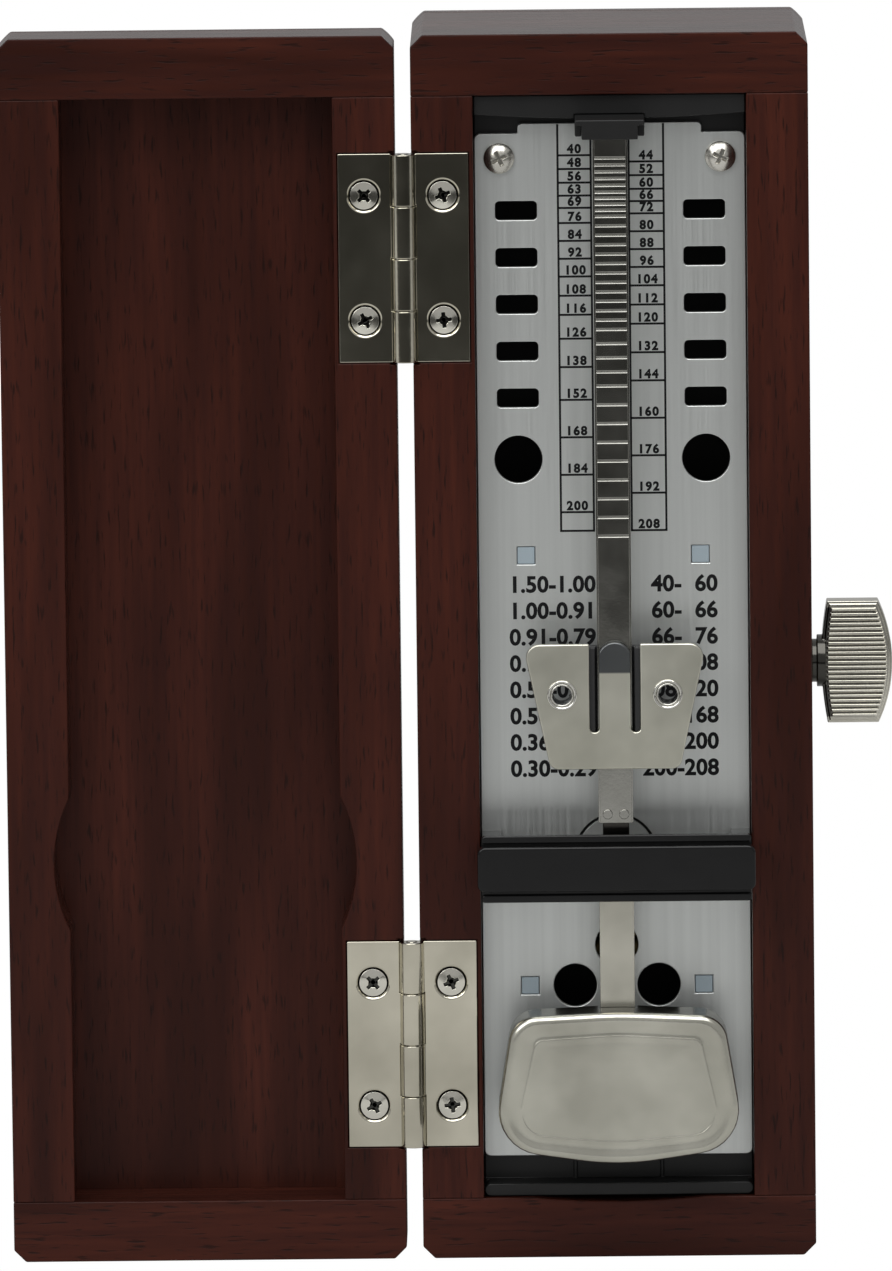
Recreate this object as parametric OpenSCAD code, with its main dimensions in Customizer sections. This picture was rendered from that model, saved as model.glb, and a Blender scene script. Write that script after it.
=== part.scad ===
// Pocket metronome in a hinged wooden case, lid open flat to the left.
// Millimetres. Z up, the front faces -Y, X to the right as seen from the front.
// The origin is the centre of the case's bottom face. Depths are given as
// "s": the distance in front of the front wood plane (negative = behind it).

/* [Node] */
// which piece to show: all, or the name of one node

/* [Case] */
// width of the case and of the lid
case_w = 48; // [47:0.5:52]
// height of the case and of the lid
case_h = 150; // [149:0.5:156]
// depth of the case, front to back
case_d = 33; // [32.5:0.5:36]
// thickness of the case's back panel
back_t = 4; // [2.5:0.1:4.2]
// width of the upright stiles
stile_w = 7.5; // [7.2:0.1:7.6]
// height of the top and bottom rails
rail_h = 7.4; // [6.5:0.1:7.6]
// cut on the four corners seen from the front
corner_cut = 1.45; // [0.5:0.05:2]
// rounding of the edges round the back faces
back_round = 1.5; // [0.5:0.1:2]

/* [Lid] */
// thickness of the lid
lid_t = 11.5; // [11.3:0.1:14]
// depth of the lid's recess
recess_d = 8.8; // [8.7:0.1:9.2]
// radius of the round clearance cut into the lid's stiles
clearance_r = 18.4; // [18:0.1:19]
// distance between case and lid while open
lid_gap = 2; // [1.8:0.1:2.2]
// distance between case and lid while closed
closed_gap = 0.4; // [0.3:0.05:0.6]

/* [Hinges] */
// height of each hinge
hinge_h = 25.4; // [22:0.2:26]
// width of one hinge from leaf edge to leaf edge
hinge_w = 15.8; // [15:0.1:16]
// diameter of the hinge knuckles
knuckle_d = 2.95; // [2.7:0.05:3]
// diameter of the hinge pins
hinge_pin_d = 1.2; // [1:0.1:1.4]
// thickness of the hinge leaves
leaf_t = 1; // [0.8:0.1:1.1]
// distance of the upper hinge's middle from the case's top
hinge_drop = 27; // [22:0.5:32]
// middle height of the lower hinge
hinge_bottom_z = 26.6; // [22:0.2:32]
// distance of the hinge screws from the hinge axis
hinge_screw_x = 4.76; // [4.4:0.02:5]
// distance between the two screws of a leaf
hinge_screw_gap = 15.2; // [12:0.2:16]
// length of the hinge screws
hinge_screw_l = 7; // [4:0.5:7.5]

/* [Scale plate] */
// bare height below the scale plate
plate_foot = 4.5; // [4:0.1:5]
// bare height above the scale plate
plate_head = 5; // [4.5:0.1:5.5]
// thickness of the scale plate
plate_t = 0.8; // [0.5:0.1:1]
// how far the plate's face lies behind the front wood plane
plate_set = 4; // [3.5:0.1:4.2]

/* [Pendulum] */
// height of the pendulum's pivot
pivot_z = 49.1; // [48.9:0.1:49.4]
// width of the pendulum rod
rod_w = 4.2; // [3.6:0.1:4.4]
// thickness of the pendulum rod
rod_t = 0.8; // [0.6:0.1:0.8]
// distance of the pendulum rod's tip from the case's top
rod_drop = 11; // [10.9:0.1:12]
// diameter of the pendulum arbor
arbor_d = 1.6; // [1.2:0.1:1.8]
// thickness of the counterweight, front to back
counter_t = 6; // [5:0.1:6.3]
// width of the sliding weight at its top
weight_w1 = 22.2; // [19:0.1:22.4]
// width of the sliding weight at its bottom
weight_w0 = 15.7; // [15.6:0.1:17]
// height of the sliding weight
weight_h = 15.3; // [14.5:0.1:15.4]
// height of the sliding weight's bottom edge
weight_z = 61.1; // [60.6:0.1:62]

/* [Winding key] */
// height of the key's thumb piece
key_h = 15; // [12:0.5:17]
// thickness of the key's thumb piece without its ribs
key_t = 3.2; // [3:0.1:4.2]
// number of ribs on each face of the thumb piece
key_ribs = 23; // [13:2:23]

/* [Movement] */
// teeth of the great wheel
great_teeth = 36; // [34:1:38]
// teeth of the intermediate wheel
second_teeth = 50; // [48:1:52]
// teeth of both pinions
pinion_teeth = 12; // [11:1:13]
// teeth of the crown wheel
crown_teeth = 15; // [11:2:17]
// play between meshing teeth at the pitch circle
backlash = 0.1; // [0.08:0.01:0.14]

/* [Hidden] */
$fn = 64;
eps = 0.01;
seat = 0.1;         // play of a piece in its seat
run = 0.05;         // radial play of a running pin
clear = 0.3;        // play between pieces that move past each other
fy = -case_d / 2;   // Y of the front wood plane
pocket_w = case_w - 2 * stile_w;
pocket_z1 = case_h - rail_h;
frame_d = case_d - back_t;
axis_x = -case_w / 2 - lid_gap / 2;
axis_s = closed_gap / 2;
lid_x = axis_x - lid_gap / 2 - case_w / 2;   // middle of the open lid
knuckle_r = knuckle_d / 2;
knuckle_h = hinge_h / 4;
knuckle_play = 0.05;
hinge_top_z = case_h - hinge_drop;
plate_play = 0.1;   // between the scale plate and the pocket
plate_w = pocket_w - 2 * plate_play;
plate_z0 = rail_h + plate_foot;
plate_z1 = pocket_z1 - plate_head;
rod_z1 = case_h - rod_drop;
tub_wall = 1.2;
tub_front = plate_set + plate_t;             // the tub's rim carries the plate
tub_back = frame_d - seat;
tub_x = pocket_w / 2 - seat;
inner_x = tub_x - tub_wall;
frame_x = inner_x - seat;                    // outer face of the movement's frame plates
inner_d = tub_back - tub_wall - tub_front;   // depth of the room inside the tub
train_y = fy + tub_front + inner_d / 2;      // the train runs in the middle of it
wheel_play = 3.2;                            // between the intermediate wheel and the tub
tooth_top = 0.75;                            // height of a tooth over the pitch circle, in modules
// tooth modules: the wheels take up the depth of the tub but for their play
module_1 = (inner_d - 4.15) / (great_teeth + 2 * tooth_top);
module_2 = (inner_d - 2 * wheel_play) / (second_teeth + 2 * tooth_top);
middle_z = pivot_z + module_2 * (second_teeth + pinion_teeth) / 2;
key_z = middle_z + module_1 * (great_teeth + pinion_teeth) / 2;

// ---------- helpers ----------

// a box between two X, two s (front) and two Z values
module block(x0, x1, s0, s1, z0, z1)
    translate([x0, fy - s1, z0]) cube([x1 - x0, s1 - s0, z1 - z0]);

// a flat shape drawn in X and Z, filled from s0 to s1
module upright(s0, s1)
    translate([0, fy - s0, 0]) rotate([90, 0, 0]) linear_extrude(s1 - s0) children();

// a flat shape drawn in Y and Z round an axis at height z, filled from x0 to x1
module across(z, x0, x1)
    translate([x0, train_y, z]) rotate([90, 0, 90]) linear_extrude(x1 - x0) children();

// a round bar along X at height z
module bar_x(z, x0, x1, d)
    translate([x0, train_y, z]) rotate([0, 90, 0]) cylinder(d = d, h = x1 - x0);

// a round bar along Y from s0 to s1 at (x, z)
module bar_s(x, z, s0, s1, d)
    translate([x, fy - s0, z]) rotate([90, 0, 0]) cylinder(d = d, h = s1 - s0);

// a rectangle in the middle of the drawing with round corners
module round_rect(w, h, r) {
    square([w - 2 * r, h], center = true);
    square([w, h - 2 * r], center = true);
    for (x = [-1, 1], z = [-1, 1])
        translate([x * (w / 2 - r), z * (h / 2 - r)]) circle(r);
}

// points of a closed outline with each corner [x, z, r] rounded to radius r
function rounded(c, steps = 6) = [for (i = [0 : len(c) - 1])
    let (n = len(c), p = [c[i][0], c[i][1]],
        a = [c[(i + n - 1) % n][0], c[(i + n - 1) % n][1]] - p,
        b = [c[(i + 1) % n][0], c[(i + 1) % n][1]] - p,
        ua = a / norm(a), ub = b / norm(b),
        half = acos(ua * ub) / 2,
        mid = (ua + ub) / norm(ua + ub),
        o = p + mid * c[i][2] / sin(half),
        side = sign(ua[0] * ub[1] - ua[1] * ub[0]),
        start = atan2(-mid[1], -mid[0]))
    for (k = [-steps : 2 : steps])
        o + c[i][2] * [cos(start - side * k / steps * (90 - half)),
                       sin(start - side * k / steps * (90 - half))]];

// ---------- wooden case ----------

// the case's outline from the front, its four corners cut off
module case_outline()
    polygon([for (q = [[1, 1], [-1, 1], [-1, -1], [1, -1]], k = [0, 1])
        let (first = (q[0] * q[1] > 0) ? k : 1 - k)
        [q[0] * (case_w / 2 - (first == 1 ? corner_cut : 0)),
         case_h / 2 + q[1] * (case_h / 2 - (first == 1 ? 0 : corner_cut))]]);

// a board's section of depth d, its two back edges rounded
module round_back_section(w, d, r) {
    translate([-w / 2, 0]) square([w, d - r]);
    translate([-w / 2 + r, 0]) square([w - 2 * r, d]);
    for (x = [-1, 1]) translate([x * (w / 2 - r), d - r]) circle(r);
}

// the outline's board from the front plane to depth d, rounded round the back face
module rounded_board(d)
    intersection() {
        upright(-d, 0) case_outline();
        translate([0, fy, 0]) linear_extrude(case_h)
            round_back_section(case_w, d, back_round);
        translate([-case_w / 2, fy, case_h / 2]) rotate([90, 0, 90])
            linear_extrude(case_w) rotate(-90) round_back_section(case_h, d, back_round);
    }

module case_back_panel() color("#4a2018")
    intersection() {
        rounded_board(case_d);
        block(-case_w, case_w, -case_d - 1, -frame_d, -1, case_h + 1);
    }

// seat of the hinge leaf and room for the knuckles; side 1 = case, -1 = lid
module hinge_seat(z, side) {
    edge = axis_x + side * (hinge_w / 2 + seat);
    block(min(axis_x, edge), max(axis_x, edge), -leaf_t, 1,
        z - hinge_h / 2 - seat, z + hinge_h / 2 + seat);
    translate([axis_x, fy - axis_s, z - hinge_h / 2 - clear])
        cylinder(r = knuckle_r + clear, h = hinge_h + 2 * clear);
    for (k = [-1, 1])
        bar_s(axis_x + side * hinge_screw_x, z + k * hinge_screw_gap / 2,
            -hinge_screw_l - seat, 1, hinge_screw_d + 2 * seat);
}

module hinge_seats(side)
    for (z = [hinge_top_z, hinge_bottom_z]) hinge_seat(z, side);

module case_left_stile() color("#4a2018")
    difference() {
        block(-case_w / 2, -pocket_w / 2, -frame_d, 0, rail_h, pocket_z1);
        hinge_seats(1);
    }

module case_right_stile() color("#4a2018")
    difference() {
        block(pocket_w / 2, case_w / 2, -frame_d, 0, rail_h, pocket_z1);
        bar_x(key_z, pocket_w / 2 - 1, case_w / 2 + 1, bush_d + 2 * run);
    }

module case_top_rail() color("#4a2018")
    intersection() {
        upright(-frame_d, 0) case_outline();
        block(-case_w, case_w, -case_d, 1, pocket_z1, case_h + 1);
    }

scoop_r = 110;      // the finger scoop in the middle of the bottom rail
scoop_deep = 0.5;

module case_bottom_rail() color("#4a2018")
    difference() {
        intersection() {
            upright(-frame_d, 0) case_outline();
            block(-case_w, case_w, -case_d, 1, -1, rail_h);
        }
        upright(-tub_front, 1) translate([0, rail_h + scoop_r - scoop_deep])
            circle(scoop_r, $fn = 256);
    }

// ---------- wooden lid ----------

module lid_panel() color("#4a2018")
    translate([lid_x, 0, 0]) intersection() {
        rounded_board(lid_t);
        block(-case_w, case_w, -lid_t - 1, -recess_d, -1, case_h + 1);
    }

// round clearance that lets the closed lid pass the pivot bridge
module lid_clearance()
    upright(-recess_d, 1) translate([lid_x, pivot_z]) circle(clearance_r, $fn = 128);

module lid_hinge_stile() color("#4a2018")
    difference() {
        block(lid_x + pocket_w / 2, lid_x + case_w / 2, -recess_d, 0, rail_h, pocket_z1);
        hinge_seats(-1);
        lid_clearance();
    }

module lid_free_stile() color("#4a2018")
    difference() {
        block(lid_x - case_w / 2, lid_x - pocket_w / 2, -recess_d, 0, rail_h, pocket_z1);
        lid_clearance();
    }

module lid_rail(z0, z1) color("#4a2018")
    intersection() {
        translate([lid_x, 0, 0]) upright(-recess_d, 0) case_outline();
        block(lid_x - case_w, lid_x + case_w, -case_d, 1, z0, z1);
    }

module lid_top_rail() lid_rail(pocket_z1, case_h + 1);
module lid_bottom_rail() lid_rail(-1, rail_h);

// ---------- hinges ----------

hinge_screw_d = 1.7;
screw_head_d = 3.4;
screw_sink_d = 4.1;
screw_head_t = 0.9;

// one leaf; side 1 = case, -1 = lid; the case has knuckles 1 and 3 from the top
module hinge_leaf(z, side) color("#c9c6bd") {
    top = z + hinge_h / 2;
    first = side > 0 ? 0 : 1;
    outer = axis_x + side * hinge_w / 2;
    difference() {
        union() {
            difference() {
                block(min(axis_x, outer), max(axis_x, outer), -leaf_t, 0, z - hinge_h / 2, top);
                translate([axis_x, fy - axis_s, z - hinge_h])
                    cylinder(r = knuckle_r + knuckle_play, h = 2 * hinge_h);
            }
            for (k = [first, first + 2]) {
                z1 = top - k * knuckle_h - knuckle_play;
                z0 = top - (k + 1) * knuckle_h + knuckle_play;
                translate([axis_x, fy - axis_s, z0]) cylinder(r = knuckle_r, h = z1 - z0);
                block(min(axis_x, outer), max(axis_x, outer), -leaf_t, 0, z0, z1);
            }
        }
        translate([axis_x, fy - axis_s, z - hinge_h])
            cylinder(d = hinge_pin_d + 2 * run, h = 2 * hinge_h);
        for (k = [-1, 1])
            translate([axis_x + side * hinge_screw_x, fy + leaf_t + eps, z + k * hinge_screw_gap / 2])
                rotate([90, 0, 0]) cylinder(d1 = hinge_screw_d + 2 * seat, d2 = screw_sink_d,
                    h = leaf_t + 2 * eps);
    }
}

// the plain pin through the knuckles
module hinge_pin(z) color("#c9c6bd")
    translate([axis_x, fy - axis_s, z - hinge_h / 2]) cylinder(d = hinge_pin_d, h = hinge_h);

head_rise = 0.15;     // height of the domed top over the head's edge
cross_l = 1.9;        // length of the cross recess, then its width and depth
cross_w = 0.44;
cross_t = 0.6;

// a spherical cap standing on depth s0
module dome(x, z, s0, d, rise) {
    curve = (pow(d / 2, 2) + pow(rise, 2)) / 2 / rise;
    intersection() {
        translate([x, fy - s0 - rise + curve, z]) sphere(r = curve, $fn = 200);
        bar_s(x, z, s0 - eps, s0 + 2 * rise, d);
    }
}

// countersunk wood screw with a domed top and a cross recess
module sunk_screw(x, z, turn) {
    head_s = screw_head_t - leaf_t;
    difference() {
        union() {
            translate([x, fy + leaf_t, z]) rotate([90, 0, 0])
                cylinder(d1 = hinge_screw_d, d2 = screw_head_d, h = screw_head_t);
            dome(x, z, head_s, screw_head_d, head_rise);
            bar_s(x, z, -hinge_screw_l + 1, -leaf_t + eps, hinge_screw_d);
            translate([x, fy + hinge_screw_l, z]) rotate([90, 0, 0])
                cylinder(d1 = 0.3, d2 = hinge_screw_d, h = 1 + eps);
        }
        for (a = [0, 90])
            translate([x, fy, z]) rotate([0, turn + a, 0])
                translate([-cross_l / 2, -1, -cross_w / 2]) cube([cross_l, 1 + cross_t, cross_w]);
        // funnel at the middle of the recess
        translate([x, fy + leaf_t, z]) rotate([90, 0, 0])
            cylinder(d1 = 0, d2 = cross_l * 0.7, h = leaf_t + head_rise);
    }
}

module hinge_screws(side) color("#b5b1a6")
    for (z = [hinge_top_z, hinge_bottom_z], k = [-1, 1])
        sunk_screw(axis_x + side * hinge_screw_x, z + k * hinge_screw_gap / 2,
            20 + 37 * k + 11 * side);

module hinge_top_case_leaf() hinge_leaf(hinge_top_z, 1);
module hinge_top_lid_leaf() hinge_leaf(hinge_top_z, -1);
module hinge_top_pin() hinge_pin(hinge_top_z);
module hinge_bottom_case_leaf() hinge_leaf(hinge_bottom_z, 1);
module hinge_bottom_lid_leaf() hinge_leaf(hinge_bottom_z, -1);
module hinge_bottom_pin() hinge_pin(hinge_bottom_z);
module hinge_screws_case() hinge_screws(1);
module hinge_screws_lid() hinge_screws(-1);

// ---------- black movement tub and scale plate ----------

tub_z0 = rail_h + seat;
tub_z1 = pocket_z1 - seat;
ledge_z = plate_z1 + 2;                      // underside of the top ledge at its middle
ledge_r = 224;                               // and the radius of its arch
lip_h = 1.5;                                 // height of the bottom lip
lip_set = 0.9;                               // both lips end this far behind the wood
screw_x = plate_w / 2 - 3;                   // the plate's two screws
screw_z = plate_z1 - 3;
screw_d = 1.7;
screw_l = 6;
boss_d = 4;
peg_x = plate_w / 2 - 5.8;                   // the plate's four square pegs
peg_z = [pivot_z + 36.9, pivot_z - 16.1];
peg_w = 2.1;
post_w = 2.4;                                // the bridge's two end posts
bridge_x = plate_w / 2 - post_w / 2 - plate_play;
bridge_screw_d = 1;
bush_d = 6;
clip_x = 4.2;                                // half the width of the clip at the top
clip_t = 0.7;
clip_z1 = rod_z1 + 0.4 + clip_t;             // its roof lies over the rod's tip
rib_x = 5.3;                                 // the tub's two faint ribs

module movement_tub() color("#1b1b1b")
    difference() {
        union() {
            difference() {
                block(-tub_x, tub_x, -tub_back, -tub_front, tub_z0, tub_z1);
                block(-inner_x, inner_x, -tub_back + tub_wall, 1,
                    tub_z0 + tub_wall, tub_z1 - tub_wall);
            }
            // closed strips above and below the plate
            block(-inner_x, inner_x, -tub_front - tub_wall, -tub_front,
                plate_z1 - 1, tub_z1 - 1);
            block(-inner_x, inner_x, -tub_front - tub_wall, -tub_front,
                tub_z0 + 1, plate_z0 + 1);
            // top ledge with its shallow arched underside
            intersection() {
                block(-tub_x, tub_x, -tub_front - eps, -lip_set, ledge_z - 1, tub_z1);
                upright(-tub_front - 1, 0) translate([0, ledge_z + ledge_r])
                    circle(ledge_r, $fn = 360);
            }
            // bottom lip with round ends, and its two faint ribs
            block(-tub_x, tub_x, -tub_front - eps, -tub_front + 1, tub_z0, tub_z0 + lip_h);
            upright(-tub_front - eps, -lip_set)
                translate([0, tub_z0 + lip_h / 2]) round_rect(2 * tub_x, lip_h, lip_h / 2 - eps);
            for (x = [-rib_x, rib_x])
                block(x - 0.2, x + 0.2, -tub_front - eps, -tub_front + 0.3,
                    tub_z0 + lip_h - eps, plate_z0);
            // bosses for the plate's screws and blocks behind its pegs
            for (x = [-1, 1]) {
                bar_s(x * screw_x, screw_z, -tub_front - screw_l - 2, -tub_front, boss_d);
                block(x * screw_x - 1, x * screw_x + 1, -tub_front - screw_l - 2, -tub_front,
                    screw_z, tub_z1 - tub_wall / 2);
                for (z = peg_z)
                    mirror([x > 0 ? 0 : 1, 0, 0])
                        block(peg_x - peg_w, inner_x + eps, -tub_front - tub_wall, -tub_front,
                            z - peg_w, z + peg_w);
                // blocks that take the bridge's screws
                mirror([x > 0 ? 0 : 1, 0, 0])
                    block(bridge_x - post_w * 0.6, inner_x + eps, -tub_front - tub_wall, -tub_front,
                        pivot_z - 4, pivot_z + 4);
            }
            // round seat of the rear pivot bush
            bar_s(0, pivot_z, -tub_back, -tub_back + 2 * tub_wall, 2 * rear_bush_d);
        }
        for (x = [-1, 1]) {
            bar_s(x * screw_x, screw_z, -tub_front - screw_l - 0.5, 0, screw_d + 2 * run);
            for (z = peg_z)
                block(x * peg_x - peg_w / 2 - run, x * peg_x + peg_w / 2 + run,
                    -tub_front - 2 * tub_wall, 0, z - peg_w / 2 - run, z + peg_w / 2 + run);
            bar_s(x * bridge_x, pivot_z, -tub_front - 2 * tub_wall, 0, bridge_screw_d + 2 * run);
            // notch in the ledge for the pendulum's clip
            block(-clip_x - run, clip_x + run, -tub_front, 0, ledge_z - 1, clip_z1 + run);
        }
        bar_s(0, pivot_z, -tub_back - 1, -tub_back + 5, rear_bush_d + 2 * run);
        bar_x(key_z, inner_x - 1, tub_x + 1, bush_d - 1);
    }

slot_x = plate_w / 2 - 5;                    // the columns of sound holes
slot_w = 5.05;
slot_h = 2.3;
slot_step = 5.72;
slot_z0 = plate_z1 - 32.3;                   // lowest of the five rows of slots
hole_z = slot_z0 - 7.5;                      // the large round holes
hole_d = 5.8;
low_hole_d = 5.26;                           // the five holes round the counterweight
low_hole_z = pivot_z - 16.1;
tab_w = 22.3;                                // raised middle of the plate's top edge
tab_h = 1.2;
pivot_hole_d = 10.2;

module scale_plate() color("#a5aaa8")
    upright(-tub_front, -plate_set) difference() {
        union() {
            translate([0, (plate_z0 + plate_z1) / 2])
                round_rect(plate_w, plate_z1 - plate_z0, 0.8);
            translate([0, plate_z1]) round_rect(tab_w, 2 * tab_h, tab_h / 2);
        }
        // sound slots and round sound holes
        for (x = [-1, 1]) {
            for (k = [0 : 4])
                translate([x * slot_x, slot_z0 + k * slot_step]) round_rect(slot_w, slot_h, 0.5);
            translate([x * slot_x, hole_z]) circle(d = hole_d);
            translate([x * low_hole_d * 0.97, low_hole_z]) circle(d = low_hole_d);
            translate([x * low_hole_d * 1.88, low_hole_z - low_hole_d]) circle(d = low_hole_d * 0.8);
            for (z = peg_z) translate([x * peg_x, z]) square(peg_w + 2 * run, center = true);
            translate([x * screw_x, screw_z]) circle(d = screw_d + 0.5);
            translate([x * bridge_x, pivot_z]) circle(d = bridge_screw_d + 0.4);
        }
        translate([0, low_hole_z + low_hole_d * 0.95]) circle(d = low_hole_d);
        translate([0, pivot_z]) circle(d = pivot_hole_d);
    }

pan_d = 3.75;
pan_h = 1.2;

// two pan-head screws with cross recesses
module plate_screws() color("#c9c6bd")
    for (x = [-1, 1])
        difference() {
            union() {
                bar_s(x * screw_x, screw_z, -tub_front - screw_l, -plate_set + eps, screw_d);
                bar_s(x * screw_x, screw_z, -plate_set, -plate_set + pan_h * 0.4, pan_d);
                dome(x * screw_x, screw_z, -plate_set + pan_h * 0.4, pan_d, pan_h * 0.6);
            }
            for (a = [0, 90])
                translate([x * screw_x, fy + plate_set - pan_h * 0.3, screw_z])
                    rotate([0, 25 * x + a, 0]) translate([-pan_d / 4, -pan_h, -cross_w / 2])
                        cube([pan_d / 2, pan_h, cross_w]);
        }

// four pale square pegs that hold the plate on the tub
module plate_pegs() color("#9aa6ab")
    for (x = [-1, 1], z = peg_z)
        block(x * peg_x - peg_w / 2, x * peg_x + peg_w / 2, -tub_front - 1.2,
            -plate_set - 0.1, z - peg_w / 2, z + peg_w / 2);

// ---------- pivot bridge and pendulum clip ----------

bridge_s0 = 6.2;     // the bridge stands clear in front of the sliding weight
bridge_s1 = 8;
bridge_w = plate_w + 0.9;
bar_h = 5.5;
flange_h = 8.2;
flange_t = 0.7;
bar_round = 0.9;

module pivot_bridge() color("#1a1a1a")
    difference() {
        union() {
            upright(bridge_s0, bridge_s1) translate([0, pivot_z + 0.1])
                round_rect(bridge_w, bar_h, bar_round);
            upright(bridge_s0, bridge_s0 + flange_t) translate([0, pivot_z])
                round_rect(bridge_w - 1, flange_h, bar_round / 2);
            for (x = [-1, 1]) {
                block(x * bridge_x - post_w / 2, x * bridge_x + post_w / 2, -plate_set,
                    bridge_s0 + eps, pivot_z - flange_h / 2, pivot_z + flange_h / 2 + 1.2);
            }
        }
        bar_s(0, pivot_z, bridge_s0 - 1, bridge_s1 - 0.6, arbor_d * 0.6 + 2 * run);
        for (x = [-1, 1]) {
            bar_s(x * bridge_x, pivot_z, -plate_set - 1, bridge_s0 - 1, bridge_screw_d + 2 * run);
        }
    }

// two screws from behind the plate into the bridge's posts
module bridge_screws() color("#8f8b82")
    for (x = [-1, 1])
        bar_s(x * bridge_x, pivot_z, -tub_front - 1.2, bridge_s0 - 1.3, bridge_screw_d);

clip_z0 = rod_z1 - 1.3;                      // lower end of its tab and feet

// catch that holds the parked rod's tip: a roof, a front tab and two feet
module pendulum_clip() color("#232323") {
    block(-clip_x, clip_x, -plate_set, 5.7, clip_z1 - clip_t, clip_z1);
    block(-clip_x + 0.8, clip_x - 0.8, 4.9, 5.7, clip_z0, clip_z1 - clip_t + eps);
    for (x = [-1, 1])
        block(x * (clip_x - 0.4) - 0.4, x * (clip_x - 0.4) + 0.4, -plate_set, 1.8,
            clip_z0, clip_z1 - clip_t + eps);
    block(-clip_x, clip_x, -plate_set, -plate_set + 0.8, clip_z0, clip_z1 - clip_t + eps);
}

// ---------- pendulum ----------

rod_s = 3.6;         // back face of the rod
lever_t = 1;
lever_w = 3.2;
lever_z1 = pivot_z + 7.5;
rivet_z = pivot_z + 6.3;
rivet_d = 0.8;
rod_z0 = pivot_z + 5.2;
scale_z0 = rod_z1 - 4.34;   // height of the line for 40 beats a minute
notch_up = 0.7;      // the notches lie this far above the scale's lines
notch = 0.22;        // side of a notch, which is cut 45 degrees both ways
rod_edge = 0.2;      // bevel of the rod's front edges
// beats a minute marked on the scale
beats = [for (b = [40 : 4 : 60]) b, for (b = [63 : 3 : 72]) b, for (b = [76 : 4 : 120]) b,
    for (b = [126 : 6 : 144]) b, for (b = [152 : 8 : 208]) b];
// height of the scale's line for b beats a minute
function beat_z(b) = scale_z0 - 0.207 * (min(b, 60) - 40)
    - 0.244 * (min(max(b, 60), 72) - 60) - 0.286 * (max(b, 72) - 72);

// flat rod with a bevelled front and a fine notch for every line of the scale
module pendulum_rod() color("#8d8a83")
    difference() {
        union() {
            block(-rod_w / 2, rod_w / 2, rod_s, rod_s + rod_t - rod_edge, rod_z0, rod_z1);
            block(-rod_w / 2 + rod_edge, rod_w / 2 - rod_edge, rod_s, rod_s + rod_t,
                rod_z0, rod_z1);
        }
        for (b = beats)
            translate([-rod_w, fy - rod_s - rod_t, beat_z(b) + notch_up]) rotate([45, 0, 0])
                translate([0, -notch / 2, -notch / 2]) cube([2 * rod_w, notch, notch]);
        for (x = [-1, 1]) bar_s(x, rivet_z, rod_s - 1, rod_s + 2, rivet_d + 2 * run);
    }

hub_d = 7;
counter_z = pivot_z - 36.5;   // lowest point of the counterweight

// lower lever: from the rod's foot past the pivot into the counterweight
module pendulum_lever() color("#4b4a47")
    difference() {
        union() {
            block(-lever_w / 2, lever_w / 2, rod_s - lever_t, rod_s, pivot_z, lever_z1);
            block(-rod_w / 2, rod_w / 2, rod_s - lever_t, rod_s, counter_z + 2.9, pivot_z - 2.5);
            bar_s(0, pivot_z, rod_s - lever_t, rod_s, hub_d);
        }
        bar_s(0, pivot_z, rod_s - 2, rod_s + 1, arbor_d + 2 * run);
        for (x = [-1, 1]) bar_s(x, rivet_z, rod_s - 2, rod_s + 1, rivet_d + 2 * run);
    }

// two small rivets that join the rod to the lever
module lever_rivets() color("#d5d2c8")
    for (x = [-1, 1]) {
        bar_s(x, rivet_z, rod_s - lever_t - 0.25, rod_s + rod_t + 0.25, rivet_d);
        bar_s(x, rivet_z, rod_s - lever_t - 0.35, rod_s - lever_t, rivet_d * 1.5);
        bar_s(x, rivet_z, rod_s + rod_t, rod_s + rod_t + 0.3, rivet_d * 1.5);
    }

arbor_back = tub_back - tub_wall + 0.3;   // end of the rear pivot
rear_bush_d = 3;

// steel arbor along Y, turned down to a pivot at both ends
module pendulum_arbor() color("#a9a69d") {
    bar_s(0, pivot_z, -arbor_back + 2, bridge_s0 - 0.3, arbor_d);
    bar_s(0, pivot_z, -arbor_back, -arbor_back + 2 + eps, arbor_d * 0.6);
    bar_s(0, pivot_z, bridge_s0 - 0.3 - eps, bridge_s1 - 0.9, arbor_d * 0.6);
}

// brass collet that fixes the lever to the arbor
module pendulum_collet() color("#b08d3c")
    difference() {
        union() {
            bar_s(0, pivot_z, -1.5, rod_s - lever_t, 5);
            bar_s(0, pivot_z, rod_s, rod_s + 1.2, 3.4);
        }
        bar_s(0, pivot_z, -3, rod_s + 3, arbor_d + 2 * run);
    }

crown_r = 14 * module_2;
crown_x = [frame_x * 0.199, frame_x * 0.384];   // tips of the crown wheel's teeth, its back
pallet_y = crown_r - 0.2;            // distance of each pallet from the crown wheel's axis
pallet_l = crown_x[0] - 0.4;

// two steel pallets on a sleeve, ninety degrees apart
module verge_pallets() color("#8f8c85")
    difference() {
        translate([0, train_y, pivot_z]) for (k = [-1, 1]) {
            translate([0, k * pallet_y, 0]) rotate([90, 0, 0])
                cylinder(d = arbor_d + 1, h = 2 * arbor_d - 1.2, center = true);
            translate([0, k * pallet_y, 0]) rotate([0, -45 * k, 0])
                translate([0.5, -0.8, -0.2]) cube([pallet_l - 0.5, 1.6, 0.4]);
        }
        bar_s(0, pivot_z, -tub_back, 0, arbor_d + 2 * run);
    }

counter_s = 2.2;     // back rim of the counterweight
counter_wall = 0.6;
counter_h = 19;
bead_in = 2.7;       // the raised line's distance from the edge, then its width and height
bead_w = 0.4;
bead_t = 0.15;
// right half of the counterweight's outline: [x, height over its foot, corner radius]
counter_half = [[12.8, 18.4, 3.4], [15.4, 2.3, 5.4]];

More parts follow.
